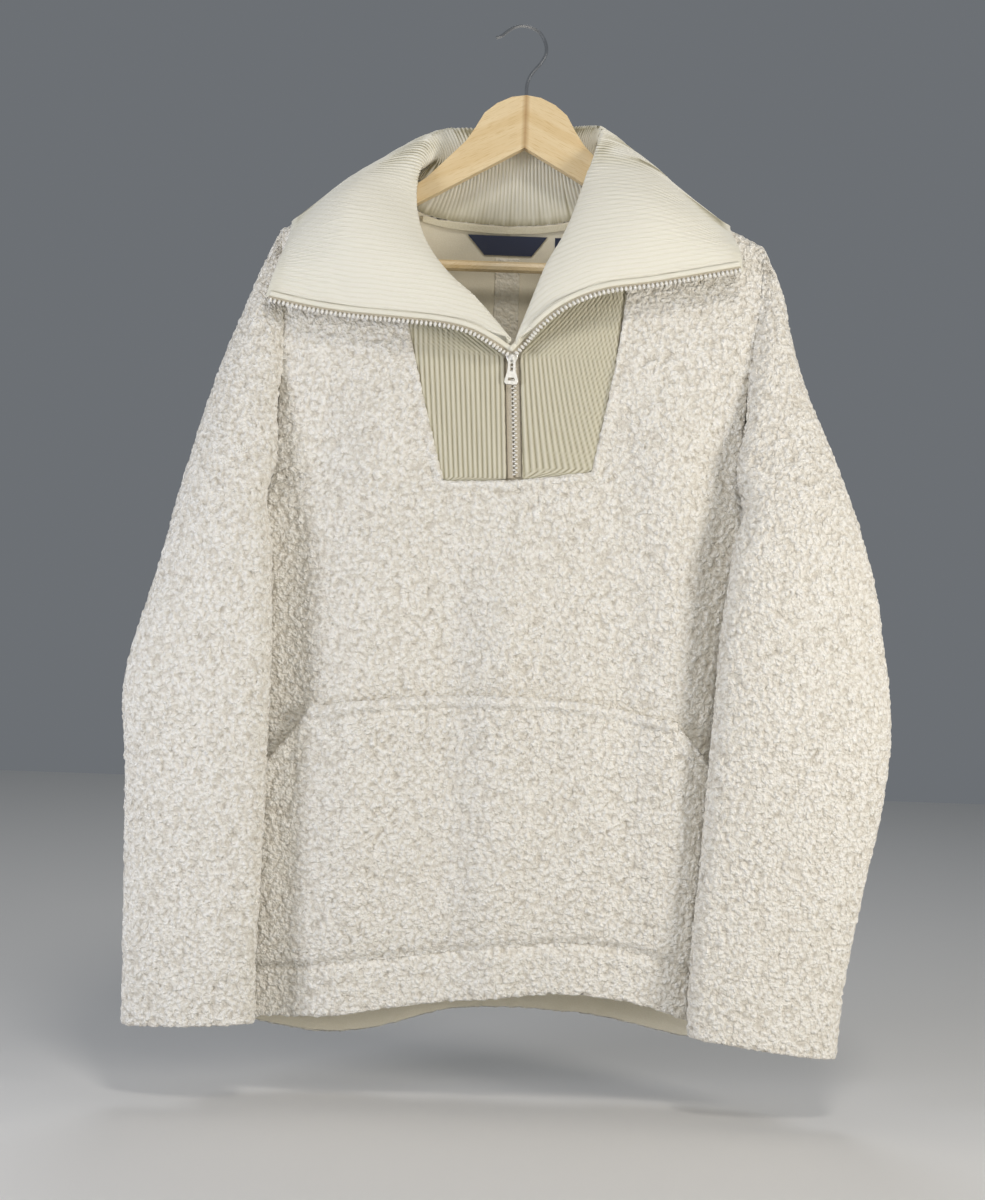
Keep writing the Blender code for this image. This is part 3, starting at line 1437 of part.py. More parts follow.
inner_y, inner_z = 1.5, 1.7
root = slider_front + 1.0
bridge_profile = [
    (root, hinge[2] + inner_z + BRIDGE_BAR),
    (hinge[1] - inner_y, hinge[2] + inner_z + BRIDGE_BAR),
    (hinge[1] - inner_y - BRIDGE_BAR, hinge[2] + inner_z),
    (hinge[1] - inner_y - BRIDGE_BAR, hinge[2] - inner_z),
    (hinge[1] - inner_y, hinge[2] - inner_z - BRIDGE_BAR),
    (root, hinge[2] - inner_z - BRIDGE_BAR),
    (root, hinge[2] - inner_z),
    (hinge[1] - inner_y, hinge[2] - inner_z),
    (hinge[1] - inner_y, hinge[2] + inner_z),
    (root, hinge[2] + inner_z),
]
bridge = add_loft("slider_bridge", bridge_profile, BRIDGE_WIDE / 2, ZIP_METAL)
PARTS.objects.unlink(bridge)
CUTTERS.objects.link(bridge)
bridge.hide_render = True
bridge.display_type = "WIRE"
joined = slider.modifiers.new("bridge", "BOOLEAN")
joined.operation = "UNION"
joined.object = bridge

bar_top = PULL_BAR / 2
pull_outline = [(-3.2, bar_top), (3.2, bar_top), (3.6, 0.0), (3.8, -4.5), (5.8, -9.0)]
pull_outline += [(6.3, -16.0), (6.0, -20.5), (4.4, -PULL_LONG + 0.8), (2.0, -PULL_LONG)]
pull_outline += [(-x, z) for x, z in reversed(pull_outline[2:])]
slot = [
    (-SLOT_WIDE / 2, -bar_top), (SLOT_WIDE / 2, -bar_top),
    (SLOT_WIDE / 2, -bar_top - SLOT_LONG), (-SLOT_WIDE / 2, -bar_top - SLOT_LONG),
]
eye = [
    (3.0 * math.cos(math.tau * k / 12), -15.5 + 4.2 * math.sin(math.tau * k / 12))
    for k in range(12)
]
shift = [[(centre_x + x, hinge[2] + z) for x, z in ring] for ring in (pull_outline, slot, eye)]
pull = add_plate("zip_pull", shift[0], PULL_THICK, ZIP_METAL, holes=shift[1:], centre_y=hinge[1])
pin_place = Matrix.Translation(Vector(hinge) * MM)
pull.data.transform(pin_place.inverted() @ pull.matrix_world)
pull.matrix_world = pin_place


# --- neck tape and labels ---------------------------------------------------------------

def inside_back(x, z, depth):
    return body_point(x, z, "back") - np.array((0.0, depth, 0.0))


def add_inside_patch(name, rows, depth, thickness, material):
    """A small flat piece on the inside of the back, from rows of (x, z) places."""
    points = np.array([[inside_back(x, z, depth) for x, z in row] for row in rows])
    columns = points.shape[1] - 1
    quads = grid_faces(len(rows) - 1, columns)
    flat = points.reshape(-1, 3)
    normals = smooth_normals(flat, quads)
    if normals[0][1] > 0:
        quads = [tuple(reversed(quad)) for quad in quads]
        normals = -normals
    add_wall(name, flat, normals, quads, thickness, material)


tape_xs = between(-84, 74, 16)
add_inside_patch(
    "neck_tape",
    [
        [(float(x), float(follow(BACK_NECK["x"], BACK_NECK["z"], x)) + rise) for x in tape_xs]
        for rise in (-7.5, -2.0)
    ],
    FLEECE / 2 + 1.6,
    TAPE,
    TAPE_CLOTH,
)
add_inside_patch(
    "neck_label",
    [
        [(-43 + 73 * k / 4, -184.0) for k in range(5)],
        [(-27 + 43 * k / 4, -202.0) for k in range(5)],
    ],
    FLEECE / 2 + 1.2,
    LABEL,
    LABEL_CLOTH,
)
add_inside_patch(
    "size_tab", [[(36.5, -184.5), (44.5, -184.5)], [(37, -197.0), (44, -197.0)]],
    FLEECE / 2 + 2.0, LABEL, LABEL_CLOTH,
)
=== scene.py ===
"""Looks for the sherpa fleece pullover on its wooden hanger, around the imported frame, in metres."""
import math

import bmesh
import bpy
import numpy as np
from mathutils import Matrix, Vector
from mathutils.bvhtree import BVHTree


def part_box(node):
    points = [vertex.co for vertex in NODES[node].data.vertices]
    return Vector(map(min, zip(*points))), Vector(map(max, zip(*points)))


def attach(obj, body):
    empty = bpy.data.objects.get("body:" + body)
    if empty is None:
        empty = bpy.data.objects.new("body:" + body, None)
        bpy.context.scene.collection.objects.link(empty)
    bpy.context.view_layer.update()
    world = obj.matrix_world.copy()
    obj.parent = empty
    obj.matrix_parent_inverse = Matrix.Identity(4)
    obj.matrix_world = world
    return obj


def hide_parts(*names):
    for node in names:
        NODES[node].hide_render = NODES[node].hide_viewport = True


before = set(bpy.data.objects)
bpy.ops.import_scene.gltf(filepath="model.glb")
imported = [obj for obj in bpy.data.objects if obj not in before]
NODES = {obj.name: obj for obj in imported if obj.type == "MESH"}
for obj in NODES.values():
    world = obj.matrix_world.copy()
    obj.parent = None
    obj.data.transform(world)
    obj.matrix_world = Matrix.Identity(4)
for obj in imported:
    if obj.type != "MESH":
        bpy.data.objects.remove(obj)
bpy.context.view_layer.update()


# ---------------------------------------------------------------- studio
# A painted floor under a plain grey room, and a camera level with the chest, 1.8 m in front. The light is
# five soft boxes: above, by the camera, at each side for the sleeves, and behind for the back.
CAMERA_PLACE = (-0.00866, -1.8, -0.5157)
CAMERA_TILT = (90, -2, 0)
FLOOR_HEIGHT = -0.965
CHEST = Vector((0, 0, -0.45))


def linear(code):
    """An sRGB hex colour as Blender's linear numbers."""
    parts = [int(code[i:i + 2], 16) / 255 for i in (1, 3, 5)]
    return [c / 12.92 if c <= 0.04045 else ((c + 0.055) / 1.055) ** 2.4 for c in parts] + [1.0]


def add(tree, kind, inputs=None, stops=(), **settings):
    """One node with its settings and links. An input is a number, a colour or another node's output,
    and stops are a colour ramp's places and hex colours."""
    node = tree.nodes.new(kind)
    for key, value in settings.items():
        setattr(node, key, value)
    for key, value in (inputs or {}).items():
        if isinstance(value, bpy.types.NodeSocket):
            tree.links.new(value, node.inputs[key])
        else:
            node.inputs[key].default_value = value
    if stops:
        band = node.color_ramp
        while len(band.elements) < len(stops):
            band.elements.new(0.5)
        for element, (at, code) in zip(band.elements, stops):
            element.position = at
            element.color = linear(code)
    return node


def new_material(name, **shader):
    """A material with one Principled shader, whose constant values sit on its own sockets."""
    material = bpy.data.materials.new(name)
    material.use_nodes = True
    tree = material.node_tree
    bsdf = tree.nodes["Principled BSDF"]
    for key, value in shader.items():
        bsdf.inputs[key.replace("_", " ")].default_value = value
    return material, tree, bsdf


camera = bpy.data.objects.new("camera", bpy.data.cameras.new("camera"))
camera.data.lens, camera.data.sensor_width, camera.data.sensor_fit = 60, 36, "AUTO"
camera.location = CAMERA_PLACE
camera.rotation_euler = [math.radians(angle) for angle in CAMERA_TILT]
bpy.context.scene.collection.objects.link(camera)
bpy.context.scene.camera = camera

# Matt acrylic floor paint, rolled on: broad faint clouds of two near greys and no shine.
floor_paint, tree, bsdf = new_material("floor_paint", Roughness=0.7)
clouds = add(tree, "ShaderNodeTexNoise", {"Scale": 1.5, "Detail": 2.0})
paint = add(tree, "ShaderNodeValToRGB", {"Fac": clouds.outputs["Fac"]}, ((0.3, "#DCDBD8"), (0.7, "#E2E1DE")))
tree.links.new(paint.outputs["Color"], bsdf.inputs["Base Color"])
bm = bmesh.new()
bmesh.ops.create_grid(bm, x_segments=2, y_segments=2, size=3.0)
floor_mesh = bpy.data.meshes.new("floor")
bm.to_mesh(floor_mesh)
bm.free()
floor_mesh.materials.append(floor_paint)
floor = bpy.data.objects.new("floor", floor_mesh)
floor.location = (0, 0, FLOOR_HEIGHT)
bpy.context.scene.collection.objects.link(floor)

world = bpy.data.worlds.new("studio")
world.use_nodes = True
sky = world.node_tree.nodes["Background"]
sky.inputs["Color"].default_value = linear("#B4BAC1")
sky.inputs["Strength"].default_value = 0.33
bpy.context.scene.world = world
# The standard view keeps cream cloth cream, where a film curve would grey it.
bpy.context.scene.view_settings.view_transform = "Standard"

for name, place, size, watts, colour in (
    ("top", (0.25, -1.35, 1.15), 0.4, 10.5, "#FFFAF4"),
    ("front", (0.1, -2.0, -0.1), 0.7, 3.2, "#FFF8EA"),
    ("left", (-1.3, -0.85, -0.45), 0.4, 10, "#F3F5FF"),
    ("right", (1.3, -0.85, -0.4), 0.4, 11.5, "#FFFAF4"),
    ("back", (0, 1.6, 1.9), 1.0, 13, "#F4F6FA"),
):
    lamp = bpy.data.objects.new(name, bpy.data.lights.new(name, "AREA"))
    lamp.data.size, lamp.data.energy, lamp.data.color = size, watts, linear(colour)[:3]
    lamp.location = place
    lamp.rotation_euler = (CHEST - Vector(place)).to_track_quat("-Z", "Y").to_euler()
    bpy.context.scene.collection.objects.link(lamp)


# ---------------------------------------------------------------- sherpa fleece panels
# Polyester sherpa: a cream pile of curled tufts about 4 mm wide on a flat knitted back. Each cut panel is
# its CAD wall, rounded and cut finer outside, with the tufts raised from it. Turned edges round the bib
# and the pocket stand up as soft cords, and stitch lines pull the pile in.
MM = 0.001
TUFT_HEIGHT = 3.4 * MM
HEAD_PITCH, CURL_PITCH = 4.1 * MM, 2.3 * MM
# Lines of (x, z) in mm, seen from the front.
BIB_LINE = ((-96, -262), (-54, -412), (7, -410), (75, -400), (101, -240))
HEM_LINE = ((-260, -850), (-210, -848), (-141, -840), (-79, -830), (9, -819), (79, -813), (132, -820),
            (178, -836), (230, -850))
BACK_HEM = ((-260, -862), (-206, -859), (-178, -864), (-140, -866), (-107, -861), (-64, -848), (-30, -840),
            (36, -839), (79, -842), (121, -847), (164, -855), (184, -858), (260, -862))
POCKET_TOP = ((-161, -616), (-121, -609), (-43, -602), (36, -601), (106, -609), (152, -618))
POCKET_LEFT = ((-161, -616), (-204, -672), (-216, -710))
POCKET_RIGHT = ((152, -618), (190, -668), (205, -708))
POCKET_TACKS = (((-150, -655), (-192, -715)), ((140, -655), (178, -712)))
CUFF_LINES = {"sleeve_left": ((-340, -845), (-190, -836)), "sleeve_right": ((160, -832), (345, -858))}
# A sleeve's axis: (height, x) for each, and (height, y) for both, in metres.
SLEEVE_MIDDLE = {"sleeve_left": ((-0.9, -0.264), (-0.5, -0.255), (-0.35, -0.235), (-0.2, -0.212)),
                 "sleeve_right": ((-0.9, 0.243), (-0.6, 0.265), (-0.35, 0.243), (-0.2, 0.21))}
SLEEVE_DEPTH = ((-0.9, -0.048), (-0.4, -0.042), (-0.2, -0.012))
BODY_MIDDLE, BODY_HALF, BODY_ROOF = (0.006, -0.004), (0.25, 0.035), -0.17
SLEEVE_HALF, SLEEVE_ROOF, SLEEVE_HEAD = (0.06, 0.03), -0.22, -0.4

# Sherpa knit, sheared and tumbled until its fibres curl into heads: dry and matt, with a thin sheen of
# loose fibre. Painted shade takes it from near white on the heads to warm grey down between them. The
# flat back is smooth, deeper cream.
HEAD_SIZE, CURL_SIZE, FIBRE_SIZE, DRIFT_SIZE = 4.1667 * MM, 2.1277 * MM, 1.0 * MM, 5.8824 * MM
fleece, tree, bsdf = new_material("sherpa_fleece", Roughness=0.6, Sheen_Weight=0.15, Sheen_Roughness=0.5)
place = add(tree, "ShaderNodeTexCoord").outputs["Object"]
tuft_shade = add(tree, "ShaderNodeAttribute", attribute_name="tuft_shade").outputs["Fac"]
pile = add(tree, "ShaderNodeAttribute", attribute_name="pile").outputs["Fac"]
fuzz = add(tree, "ShaderNodeTexNoise", {"Vector": place, "Scale": 1 / FIBRE_SIZE, "Detail": 4.0})
drift = add(tree, "ShaderNodeTexNoise", {"Vector": place, "Scale": 1 / DRIFT_SIZE, "Detail": 2.0})
drift = add(tree, "ShaderNodeVectorMath", {0: drift.outputs["Color"], 1: (3.2 * MM,) * 3},
            operation="MULTIPLY")
bent = add(tree, "ShaderNodeVectorMath", {0: place, 1: drift.outputs[0]}, operation="ADD").outputs[0]
heads = add(tree, "ShaderNodeTexVoronoi", {"Vector": bent, "Scale": 1 / HEAD_SIZE}, feature="SMOOTH_F1")
heads.inputs["Smoothness"].default_value = 0.25
curls = add(tree, "ShaderNodeTexVoronoi", {"Vector": bent, "Scale": 1 / CURL_SIZE})
depth = add(tree, "ShaderNodeMix", {0: 0.35, 2: heads.outputs["Distance"], 3: curls.outputs["Distance"]})
# Painted shade: the pile is coloured lighter towards the tufts' tips and greyer down between them, from the
# shader's own tufts and the mesh's tuft mark.
tip_shade = add(tree, "ShaderNodeMapRange", {"Value": depth.outputs[0], "From Min": 0.15, "From Max": 0.7,
                                        "To Min": 1.0, "To Max": 0.0})
height = add(tree, "ShaderNodeMix", {0: 0.6, 2: tuft_shade, 3: tip_shade.outputs[0]})
pile_shade_tone = add(tree, "ShaderNodeValToRGB", {"Fac": height.outputs[0]},
                ((0.05, "#C8C0B1"), (0.28, "#E1DBCE"), (0.5, "#F0ECE2"), (0.8, "#FAF8F2")))
back_tone = add(tree, "ShaderNodeValToRGB", {"Fac": fuzz.outputs["Fac"]},
                ((0.3, "#E4DCC4"), (0.7, "#EBE4D0")))
tone = add(tree, "ShaderNodeMix", data_type="RGBA")
for socket, source in ((0, pile), (6, back_tone.outputs["Color"]), (7, pile_shade_tone.outputs["Color"])):
    tree.links.new(source, tone.inputs[socket])
tree.links.new(tone.outputs[2], bsdf.inputs["Base Color"])
piled = add(tree, "ShaderNodeMath", {0: depth.outputs[0], 1: pile}, operation="MULTIPLY")
bump = add(tree, "ShaderNodeBump", {"Strength": 1.0, "Distance": 3 * MM, "Height": piled.outputs[0]},
           invert=True)
bump = add(tree, "ShaderNodeBump", {"Strength": 0.35, "Distance": 0.5 * MM, "Height": fuzz.outputs["Fac"],
                                    "Normal": bump.outputs["Normal"]})
tree.links.new(bump.outputs["Normal"], bsdf.inputs["Normal"])


def corners_of(mesh):
    """A mesh's points, one row each."""
    co = np.zeros(len(mesh.vertices) * 3)
    mesh.vertices.foreach_get("co", co)
    return co.reshape(-1, 3)


def triangles_of(mesh):
    """A mesh's triangles, as rows of three point numbers."""
    mesh.calc_loop_triangles()
    tri = np.zeros(len(mesh.loop_triangles) * 3, np.int32)
    mesh.loop_triangles.foreach_get("vertices", tri)
    return tri.reshape(-1, 3).astype(np.int64)


def tree_of(*nodes):
    """One BVH tree over some CAD nodes, for finding their surface."""
    co, tri, start = [], [], 0
    for node in nodes:
        mesh = NODES[node].data
        co.append(corners_of(mesh))
        tri.append(triangles_of(mesh) + start)
        start += len(co[-1])
    return BVHTree.FromPolygons(np.concatenate(co).tolist(), np.concatenate(tri).tolist())


def seen(walls, x, z, side=-1):
    """The point of the walls seen at x, z from the front, or from behind with side 1; None past them."""
    return walls.ray_cast(Vector((x, 0.3 * side, z)), Vector((0, -side, 0)))[0]


def normals_of(co, tri):
    """Area-weighted vertex normals."""
    face = np.cross(co[tri[:, 1]] - co[tri[:, 0]], co[tri[:, 2]] - co[tri[:, 0]])
    total = np.zeros_like(co)
    for k in range(3):
        np.add.at(total, tri[:, k], face)
    return total / np.maximum(np.linalg.norm(total, axis=1, keepdims=True), 1e-12)


def widest_region(bm, sharp_edges):
    """The largest patch of faces that no sharp edge crosses."""
    left, regions = set(bm.faces), []
    while left:
        region, waiting = set(), [left.pop()]
        while waiting:
            face = waiting.pop()
            region.add(face)
            for edge in face.edges:
                if edge[sharp_edges] == 0:
                    near = [other for other in edge.link_faces if other in left]
                    left.difference_update(near)
                    waiting += near
        regions.append(region)
    return max(regions, key=len)


def rounded_copy(node, levels, crease=0.8, sharp=50, rounds=3, widest=False):
    """A node's wall as a finer, rounded mesh whose points still pass through the wall's own corners.
    With widest, also whether each point lies on the widest patch between sharp edges."""
    bm = bmesh.new()
    bm.from_mesh(NODES[node].data)
    bmesh.ops.remove_doubles(bm, verts=bm.verts, dist=0.02 * MM)
    bmesh.ops.join_triangles(bm, faces=bm.faces, angle_face_threshold=math.radians(35),
                             angle_shape_threshold=math.radians(60))
    layer = bm.edges.layers.float.new("crease_edge")
    for edge in bm.edges:
        if len(edge.link_faces) == 2 and edge.calc_face_angle(0) > math.radians(sharp):
            edge[layer] = crease
    if widest:
        for face in widest_region(bm, layer):
            face.material_index = 1
    mesh = bpy.data.meshes.new("draft")
    mesh.materials.append(None)
    mesh.materials.append(None)
    bm.to_mesh(mesh)
    bm.free()
    draft = bpy.data.objects.new("draft", mesh)
    bpy.context.scene.collection.objects.link(draft)
    modifier = draft.modifiers.new("round", "SUBSURF")
    modifier.levels = modifier.render_levels = levels
    target = corners_of(mesh)
    control = target.copy()
    for step in range(rounds + 1):
        bpy.context.view_layer.update()
        fine = draft.evaluated_get(bpy.context.evaluated_depsgraph_get()).to_mesh()
        co = corners_of(fine)
        if step == rounds:
            break
        control += (target - co[:len(target)]) * 0.9
        mesh.vertices.foreach_set("co", control.ravel())
        mesh.update()
    tri = triangles_of(fine)
    if widest:
        kind = np.zeros(len(fine.polygons), np.int32)
        fine.polygons.foreach_get("material_index", kind)
        of_triangle = np.zeros(len(tri), np.int32)
        fine.loop_triangles.foreach_get("polygon_index", of_triangle)
        inside = np.ones(len(co), bool)
        inside[tri[kind[of_triangle] != 1].ravel()] = False
    bpy.data.objects.remove(draft)
    bpy.data.meshes.remove(mesh)
    return (co, tri, inside) if widest else (co, tri)


def split_long(co, tri, limit, chosen, passes=4):
    """Halves the edges between chosen points that are longer than limit: one length, or one for a point."""
    limit = np.broadcast_to(limit, len(co))
    for _ in range(passes):
        pairs = np.concatenate([tri[:, [0, 1]], tri[:, [1, 2]], tri[:, [2, 0]]])
        ordered = np.sort(pairs, 1)
        code = ordered[:, 0] * len(co) + ordered[:, 1]
        unique, index = np.unique(code, return_inverse=True)
        first, second = unique // len(co), unique % len(co)
        most = np.maximum(limit[first], limit[second])
        long = np.linalg.norm(co[first] - co[second], axis=1) > most
        long &= chosen[first] & chosen[second]
        if not long.any():
            break
        place = np.full(len(unique), -1)
        place[long] = len(co) + np.arange(long.sum())
        co = np.concatenate([co, (co[first[long]] + co[second[long]]) / 2])
        chosen = np.concatenate([chosen, np.ones(long.sum(), bool)])
        limit = np.concatenate([limit, most[long]])
        mids = place[index].reshape(3, -1).T
        count = (mids >= 0).sum(1)
        made = [tri[count == 0]]
        for k in range(3):
            a, b, c = tri[:, k], tri[:, (k + 1) % 3], tri[:, (k + 2) % 3]
            ab, bc, ca = mids[:, k], mids[:, (k + 1) % 3], mids[:, (k + 2) % 3]
            one = (count == 1) & (ab >= 0)
            two = (count == 2) & (ca < 0)
            made += [np.stack(corners, 1)[one] for corners in ((a, ab, c), (ab, b, c))]
            made += [np.stack(corners, 1)[two] for corners in ((ab, b, bc), (a, ab, bc), (a, bc, c))]
        (a, b, c), (ab, bc, ca), full = tri.T, mids.T, count == 3
        quarters = (a, ab, ca), (ab, b, bc), (ca, bc, c), (ab, bc, ca)
        made += [np.stack(corners, 1)[full] for corners in quarters]
        tri = np.concatenate(made)
    return co, tri


def new_piece(name, co, tri, material, marks=None):
    """A smooth-shaded mesh piece on the garment, with marks as point attributes for its material."""
    mesh = bpy.data.meshes.new(name)
    mesh.vertices.add(len(co))
    mesh.vertices.foreach_set("co", np.asarray(co, np.float32).ravel())
    mesh.loops.add(len(tri) * 3)
    mesh.loops.foreach_set("vertex_index", np.asarray(tri, np.int32).ravel())
    mesh.polygons.add(len(tri))
    mesh.polygons.foreach_set("loop_start", np.arange(0, len(tri) * 3, 3, dtype=np.int32))
    mesh.update(calc_edges=True)
    mesh.validate()
    mesh.polygons.foreach_set("use_smooth", np.ones(len(mesh.polygons), bool))
    for key, values in (marks or {}).items():
        mesh.attributes.new(key, "FLOAT", "POINT").data.foreach_set("value", np.asarray(values, np.float32))
    mesh.materials.append(material)
    piece = bpy.data.objects.new(name, mesh)
    bpy.context.scene.collection.objects.link(piece)
    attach(piece, "garment")
    return piece


def outward(co, normals, centre, half, roof):
    """From 0 inside a tube of cloth to 1 outside, by how its normals lie to an oval about its axis.
    Over the last 80 mm below the height roof, where the tube closes, outside is also upwards."""
    way = np.stack([(co[:, 0] - centre[0]) / half[0] ** 2, (co[:, 1] - centre[1]) / half[1] ** 2,
                    np.zeros(len(co))], 1)
    way /= np.maximum(np.linalg.norm(way, axis=1, keepdims=True), 1e-9)
    way[:, 2] = 1.1 * np.clip((co[:, 2] - roof) / 0.08 + 1, 0, 1)
    way /= np.linalg.norm(way, axis=1, keepdims=True)
    return np.clip(((way * normals).sum(1) + 0.15) / 0.4, 0, 1)


def outer_share(node, co, normals):
    """0 on the knitted back and 1 on the pile side, for the points of one panel."""
    if node == "pocket":
        return np.clip((0.1 - normals[:, 1]) / 0.4, 0, 1)
    if not node.startswith("sleeve"):
        return outward(co, normals, BODY_MIDDLE, BODY_HALF, BODY_ROOF)
    rows, depths = np.array(SLEEVE_MIDDLE[node]), np.array(SLEEVE_DEPTH)
    centre = np.interp(co[:, 2], rows[:, 0], rows[:, 1]), np.interp(co[:, 2], depths[:, 0], depths[:, 1])
    out = outward(co, normals, centre, SLEEVE_HALF, SLEEVE_ROOF)
    # The sleeve's head folds over its own axis, so what shows from the front or behind is outside there.
    walls = tree_of(node)
    for k in np.where((co[:, 2] > SLEEVE_HEAD) & (np.abs(normals[:, 1]) > 0.2))[0]:
        hit = seen(walls, co[k, 0], co[k, 2], side=-1 if normals[k, 1] < 0 else 1)
        if hit is not None and abs(hit.y - co[k, 1]) < 3.5 * MM:
            out[k] = 1.0
    return out


def worley(points, pitch, seed):
    """Distance to the nearest scattered dot, in pitches, and that dot's own random number."""
    scaled = points / pitch
    cell = np.floor(scaled).astype(np.int64)
    best = np.full(len(points), 9.0)
    mark = np.zeros(len(points))
    for step in np.ndindex(3, 3, 3):
        near = cell + np.array(step) - 1
        key = (near[:, 0] * 73856093) ^ (near[:, 1] * 19349663) ^ (near[:, 2] * 83492791) ^ seed
        dots = []
        for turn in (1, 2, 3, 4):
            mixed = (key * (2654435761 + 2 * turn) + turn * 97) & 0xFFFFFFFF
            mixed = ((mixed ^ (mixed >> 15)) * 2246822519) & 0xFFFFFFFF
            dots.append(((mixed ^ (mixed >> 13)) & 0xFFFFFF) / 16777216.0)
        away = near + np.stack(dots[:3], 1) - scaled
        reach = np.sqrt((away ** 2).sum(1))
        closer = reach < best
        best[closer] = reach[closer]
        mark[closer] = dots[3][closer]
    return best, mark


def waves(points, pitch, seed):
    """A smooth field from -1 to 1 that changes over about one pitch."""
    picks = np.random.default_rng(seed)
    total = np.zeros(len(points))
    for _ in range(6):
        way = picks.normal(size=3)
        way /= np.linalg.norm(way)
        total += np.sin(points @ way * (6.283 / pitch * picks.uniform(0.7, 1.4)) + picks.uniform(0, 6.28))
    return total / 3.5


def nubs(co, seed):
    """How high the pile stands, 0 to 1: rounded heads, each of its own height, with smaller curls on them."""
    bent = co + 1.0 * MM * np.stack([waves(co, 7 * MM, seed + k) for k in range(3)], 1)
    big, mark = worley(bent, HEAD_PITCH, seed)
    small, fleck = worley(bent, CURL_PITCH, seed + 11)
    head = np.sqrt(np.clip(1 - (big / 0.8) ** 2, 0, 1)) * (0.5 + 0.5 * mark)
    curl = np.sqrt(np.clip(1 - (small / 0.85) ** 2, 0, 1)) * (0.4 + 0.6 * fleck)
    return 0.66 * head + 0.34 * curl


def line_distance(co, line):
    """How far each point is from a line of (x, z) points in mm, seen from the front, in metres."""
    line = np.array(line, float) * MM
    flat = co[:, [0, 2]]
    best = np.full(len(co), 9.0)
    for start, end in zip(line[:-1], line[1:]):
        way = end - start
        share = np.clip(((flat - start) @ way) / (way @ way), 0, 1)
        best = np.minimum(best, np.linalg.norm(flat - start - share[:, None] * way, axis=1))
    return best


def bell(distance, width):
    """1 at no distance, and nearly 0 from two widths on."""
    return np.exp(-(distance / width) ** 2)


def stitched(node, co):
    """How many mm the turned edges lift the pile and the stitch lines sink it, and the share by which
    both calm its tufts."""
    lift, calm = np.zeros(len(co)), np.zeros(len(co))
    if node == "front":
        edge = line_distance(co, BIB_LINE)
        low_edge = np.clip((-0.385 - co[:, 2]) / 0.012, 0, 1)
        wander = 0.75 + 0.35 * waves(co, 14 * MM, 3)
        lift += (0.5 + 1.1 * low_edge) * wander * bell(edge - 4 * MM, 3.2 * MM)
        lift -= (0.6 + 1.5 * low_edge) * bell(edge - 9.5 * MM, 2 * MM)
        calm = np.maximum(calm, (0.25 + 0.5 * low_edge) * bell(edge - 3 * MM, 4.5 * MM))
        hem = line_distance(co, HEM_LINE)
        lift -= 1.6 * bell(hem, 4.5 * MM)
        below = co[:, 2] < np.interp(co[:, 0], *np.array(HEM_LINE).T * MM)
        lift += 0.9 * bell(hem - 10 * MM, 6 * MM) * below
    if node.startswith("back"):
        lift -= 2.6 * bell(line_distance(co, BACK_HEM), 2.2 * MM)
    if node in CUFF_LINES:
        for above in (0, 6.5):
            row = line_distance(co, [(x, z + above) for x, z in CUFF_LINES[node]])
            lift -= 1.5 * bell(row, 1.8 * MM)
            calm = np.maximum(calm, 0.6 * bell(row, 3 * MM))
    if node == "pocket":
        for line in (POCKET_TOP, POCKET_LEFT, POCKET_RIGHT):
            edge = line_distance(co, line)
            deep = (1.0 if line is POCKET_TOP else 0.5) * (0.85 + 0.3 * waves(co, 16 * MM, 4))
            lift += deep * (2.2 * bell(edge - 3.5 * MM, 3.6 * MM) - 1.6 * bell(edge - 9.5 * MM, 2.2 * MM))
            calm = np.maximum(calm, 0.6 * bell(edge - 2 * MM, 5 * MM))
        for line in POCKET_TACKS:
            lift -= 1.0 * bell(line_distance(co, line), 2.5 * MM)
    return lift, calm


def edge_limit(node, co, tri, limit):
    """How long the outer wall's edges may stay, in metres: longer behind, and under the pocket."""
    limit = limit * np.where(normals_of(co, tri)[:, 1] > 0.3, 1.4, 1.0)
    if node == "front":
        under_pocket = (np.abs(co[:, 0]) < 0.135) & (np.abs(co[:, 2] + 0.73) < 0.095)
        limit = np.where(under_pocket, 2.5 * limit, limit)
    return limit * MM


# Each panel's longest outer edge in mm, its cut in metres and the cut's area in square metres.
for node, limit, flat, area in (
    ("front", 3.15, (0.56, 0.77), 0.36),
    ("back_left", 3.3, (0.30, 0.80), 0.19),
    ("back_right", 3.3, (0.31, 0.80), 0.20),
    ("sleeve_left", 3.2, (0.34, 0.74), 0.20),
    ("sleeve_right", 3.2, (0.36, 0.76), 0.21),
    ("pocket", 2.9, (0.44, 0.26), 0.10),
):
    co, tri = rounded_copy(node, 2)
    normals = normals_of(co, tri)
    outside = outer_share(node, co, normals) > 0.3
    if node != "pocket":
        outside |= (normals[:, 2] < -0.3) & (co[:, 2] < -0.82)
    co, tri = split_long(co, tri, edge_limit(node, co, tri, limit), outside)
    normals = normals_of(co, tri)
    out = outer_share(node, co, normals)
    if node != "pocket":
        rim = (normals[:, 2] < -0.35) & (co[:, 2] < -0.83)
        out = np.where(rim, np.maximum(out, 0.9), out)
    rise = nubs(co, 5)
    lift, calm = stitched(node, co)
    if node == "pocket":
        foot = line_distance(co, HEM_LINE)
        co[:, 1] += (4.4 * np.clip(1 - foot / (30 * MM), 0, 1) ** 1.6 + 3.2 * bell(foot, 4 * MM)) * MM
    rise = rise * (1 - 0.75 * calm) + 0.5 * calm
    move = ((rise - 0.4) * TUFT_HEIGHT + lift * MM) * out
    # The tuft mark is painted shade for the pile: greyer down between the tufts and along the stitch lines,
    # lighter on the tufts' heads and on the raised turned edges and hem band.
    marks = {"tuft_shade": np.clip(rise + 0.06 * lift, 0, 1), "pile": out}
    piece = new_piece(node + "_fleece", co + normals * move[:, None], tri, fleece, marks)
    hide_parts(node)


# ---------------------------------------------------------------- rib-knit collar
# Acrylic rib knit in two layers, stitched into the neck and folded down as two flaps. The wall's own ribs
# run up the stand and are carved deeper. On the flaps the ribs are fine lines that follow the zip edge.
FLAP_RIB = 4.3 * MM
RIB_SPACE, RIB_DEPTH = 2.4 * MM, 0.7 * MM
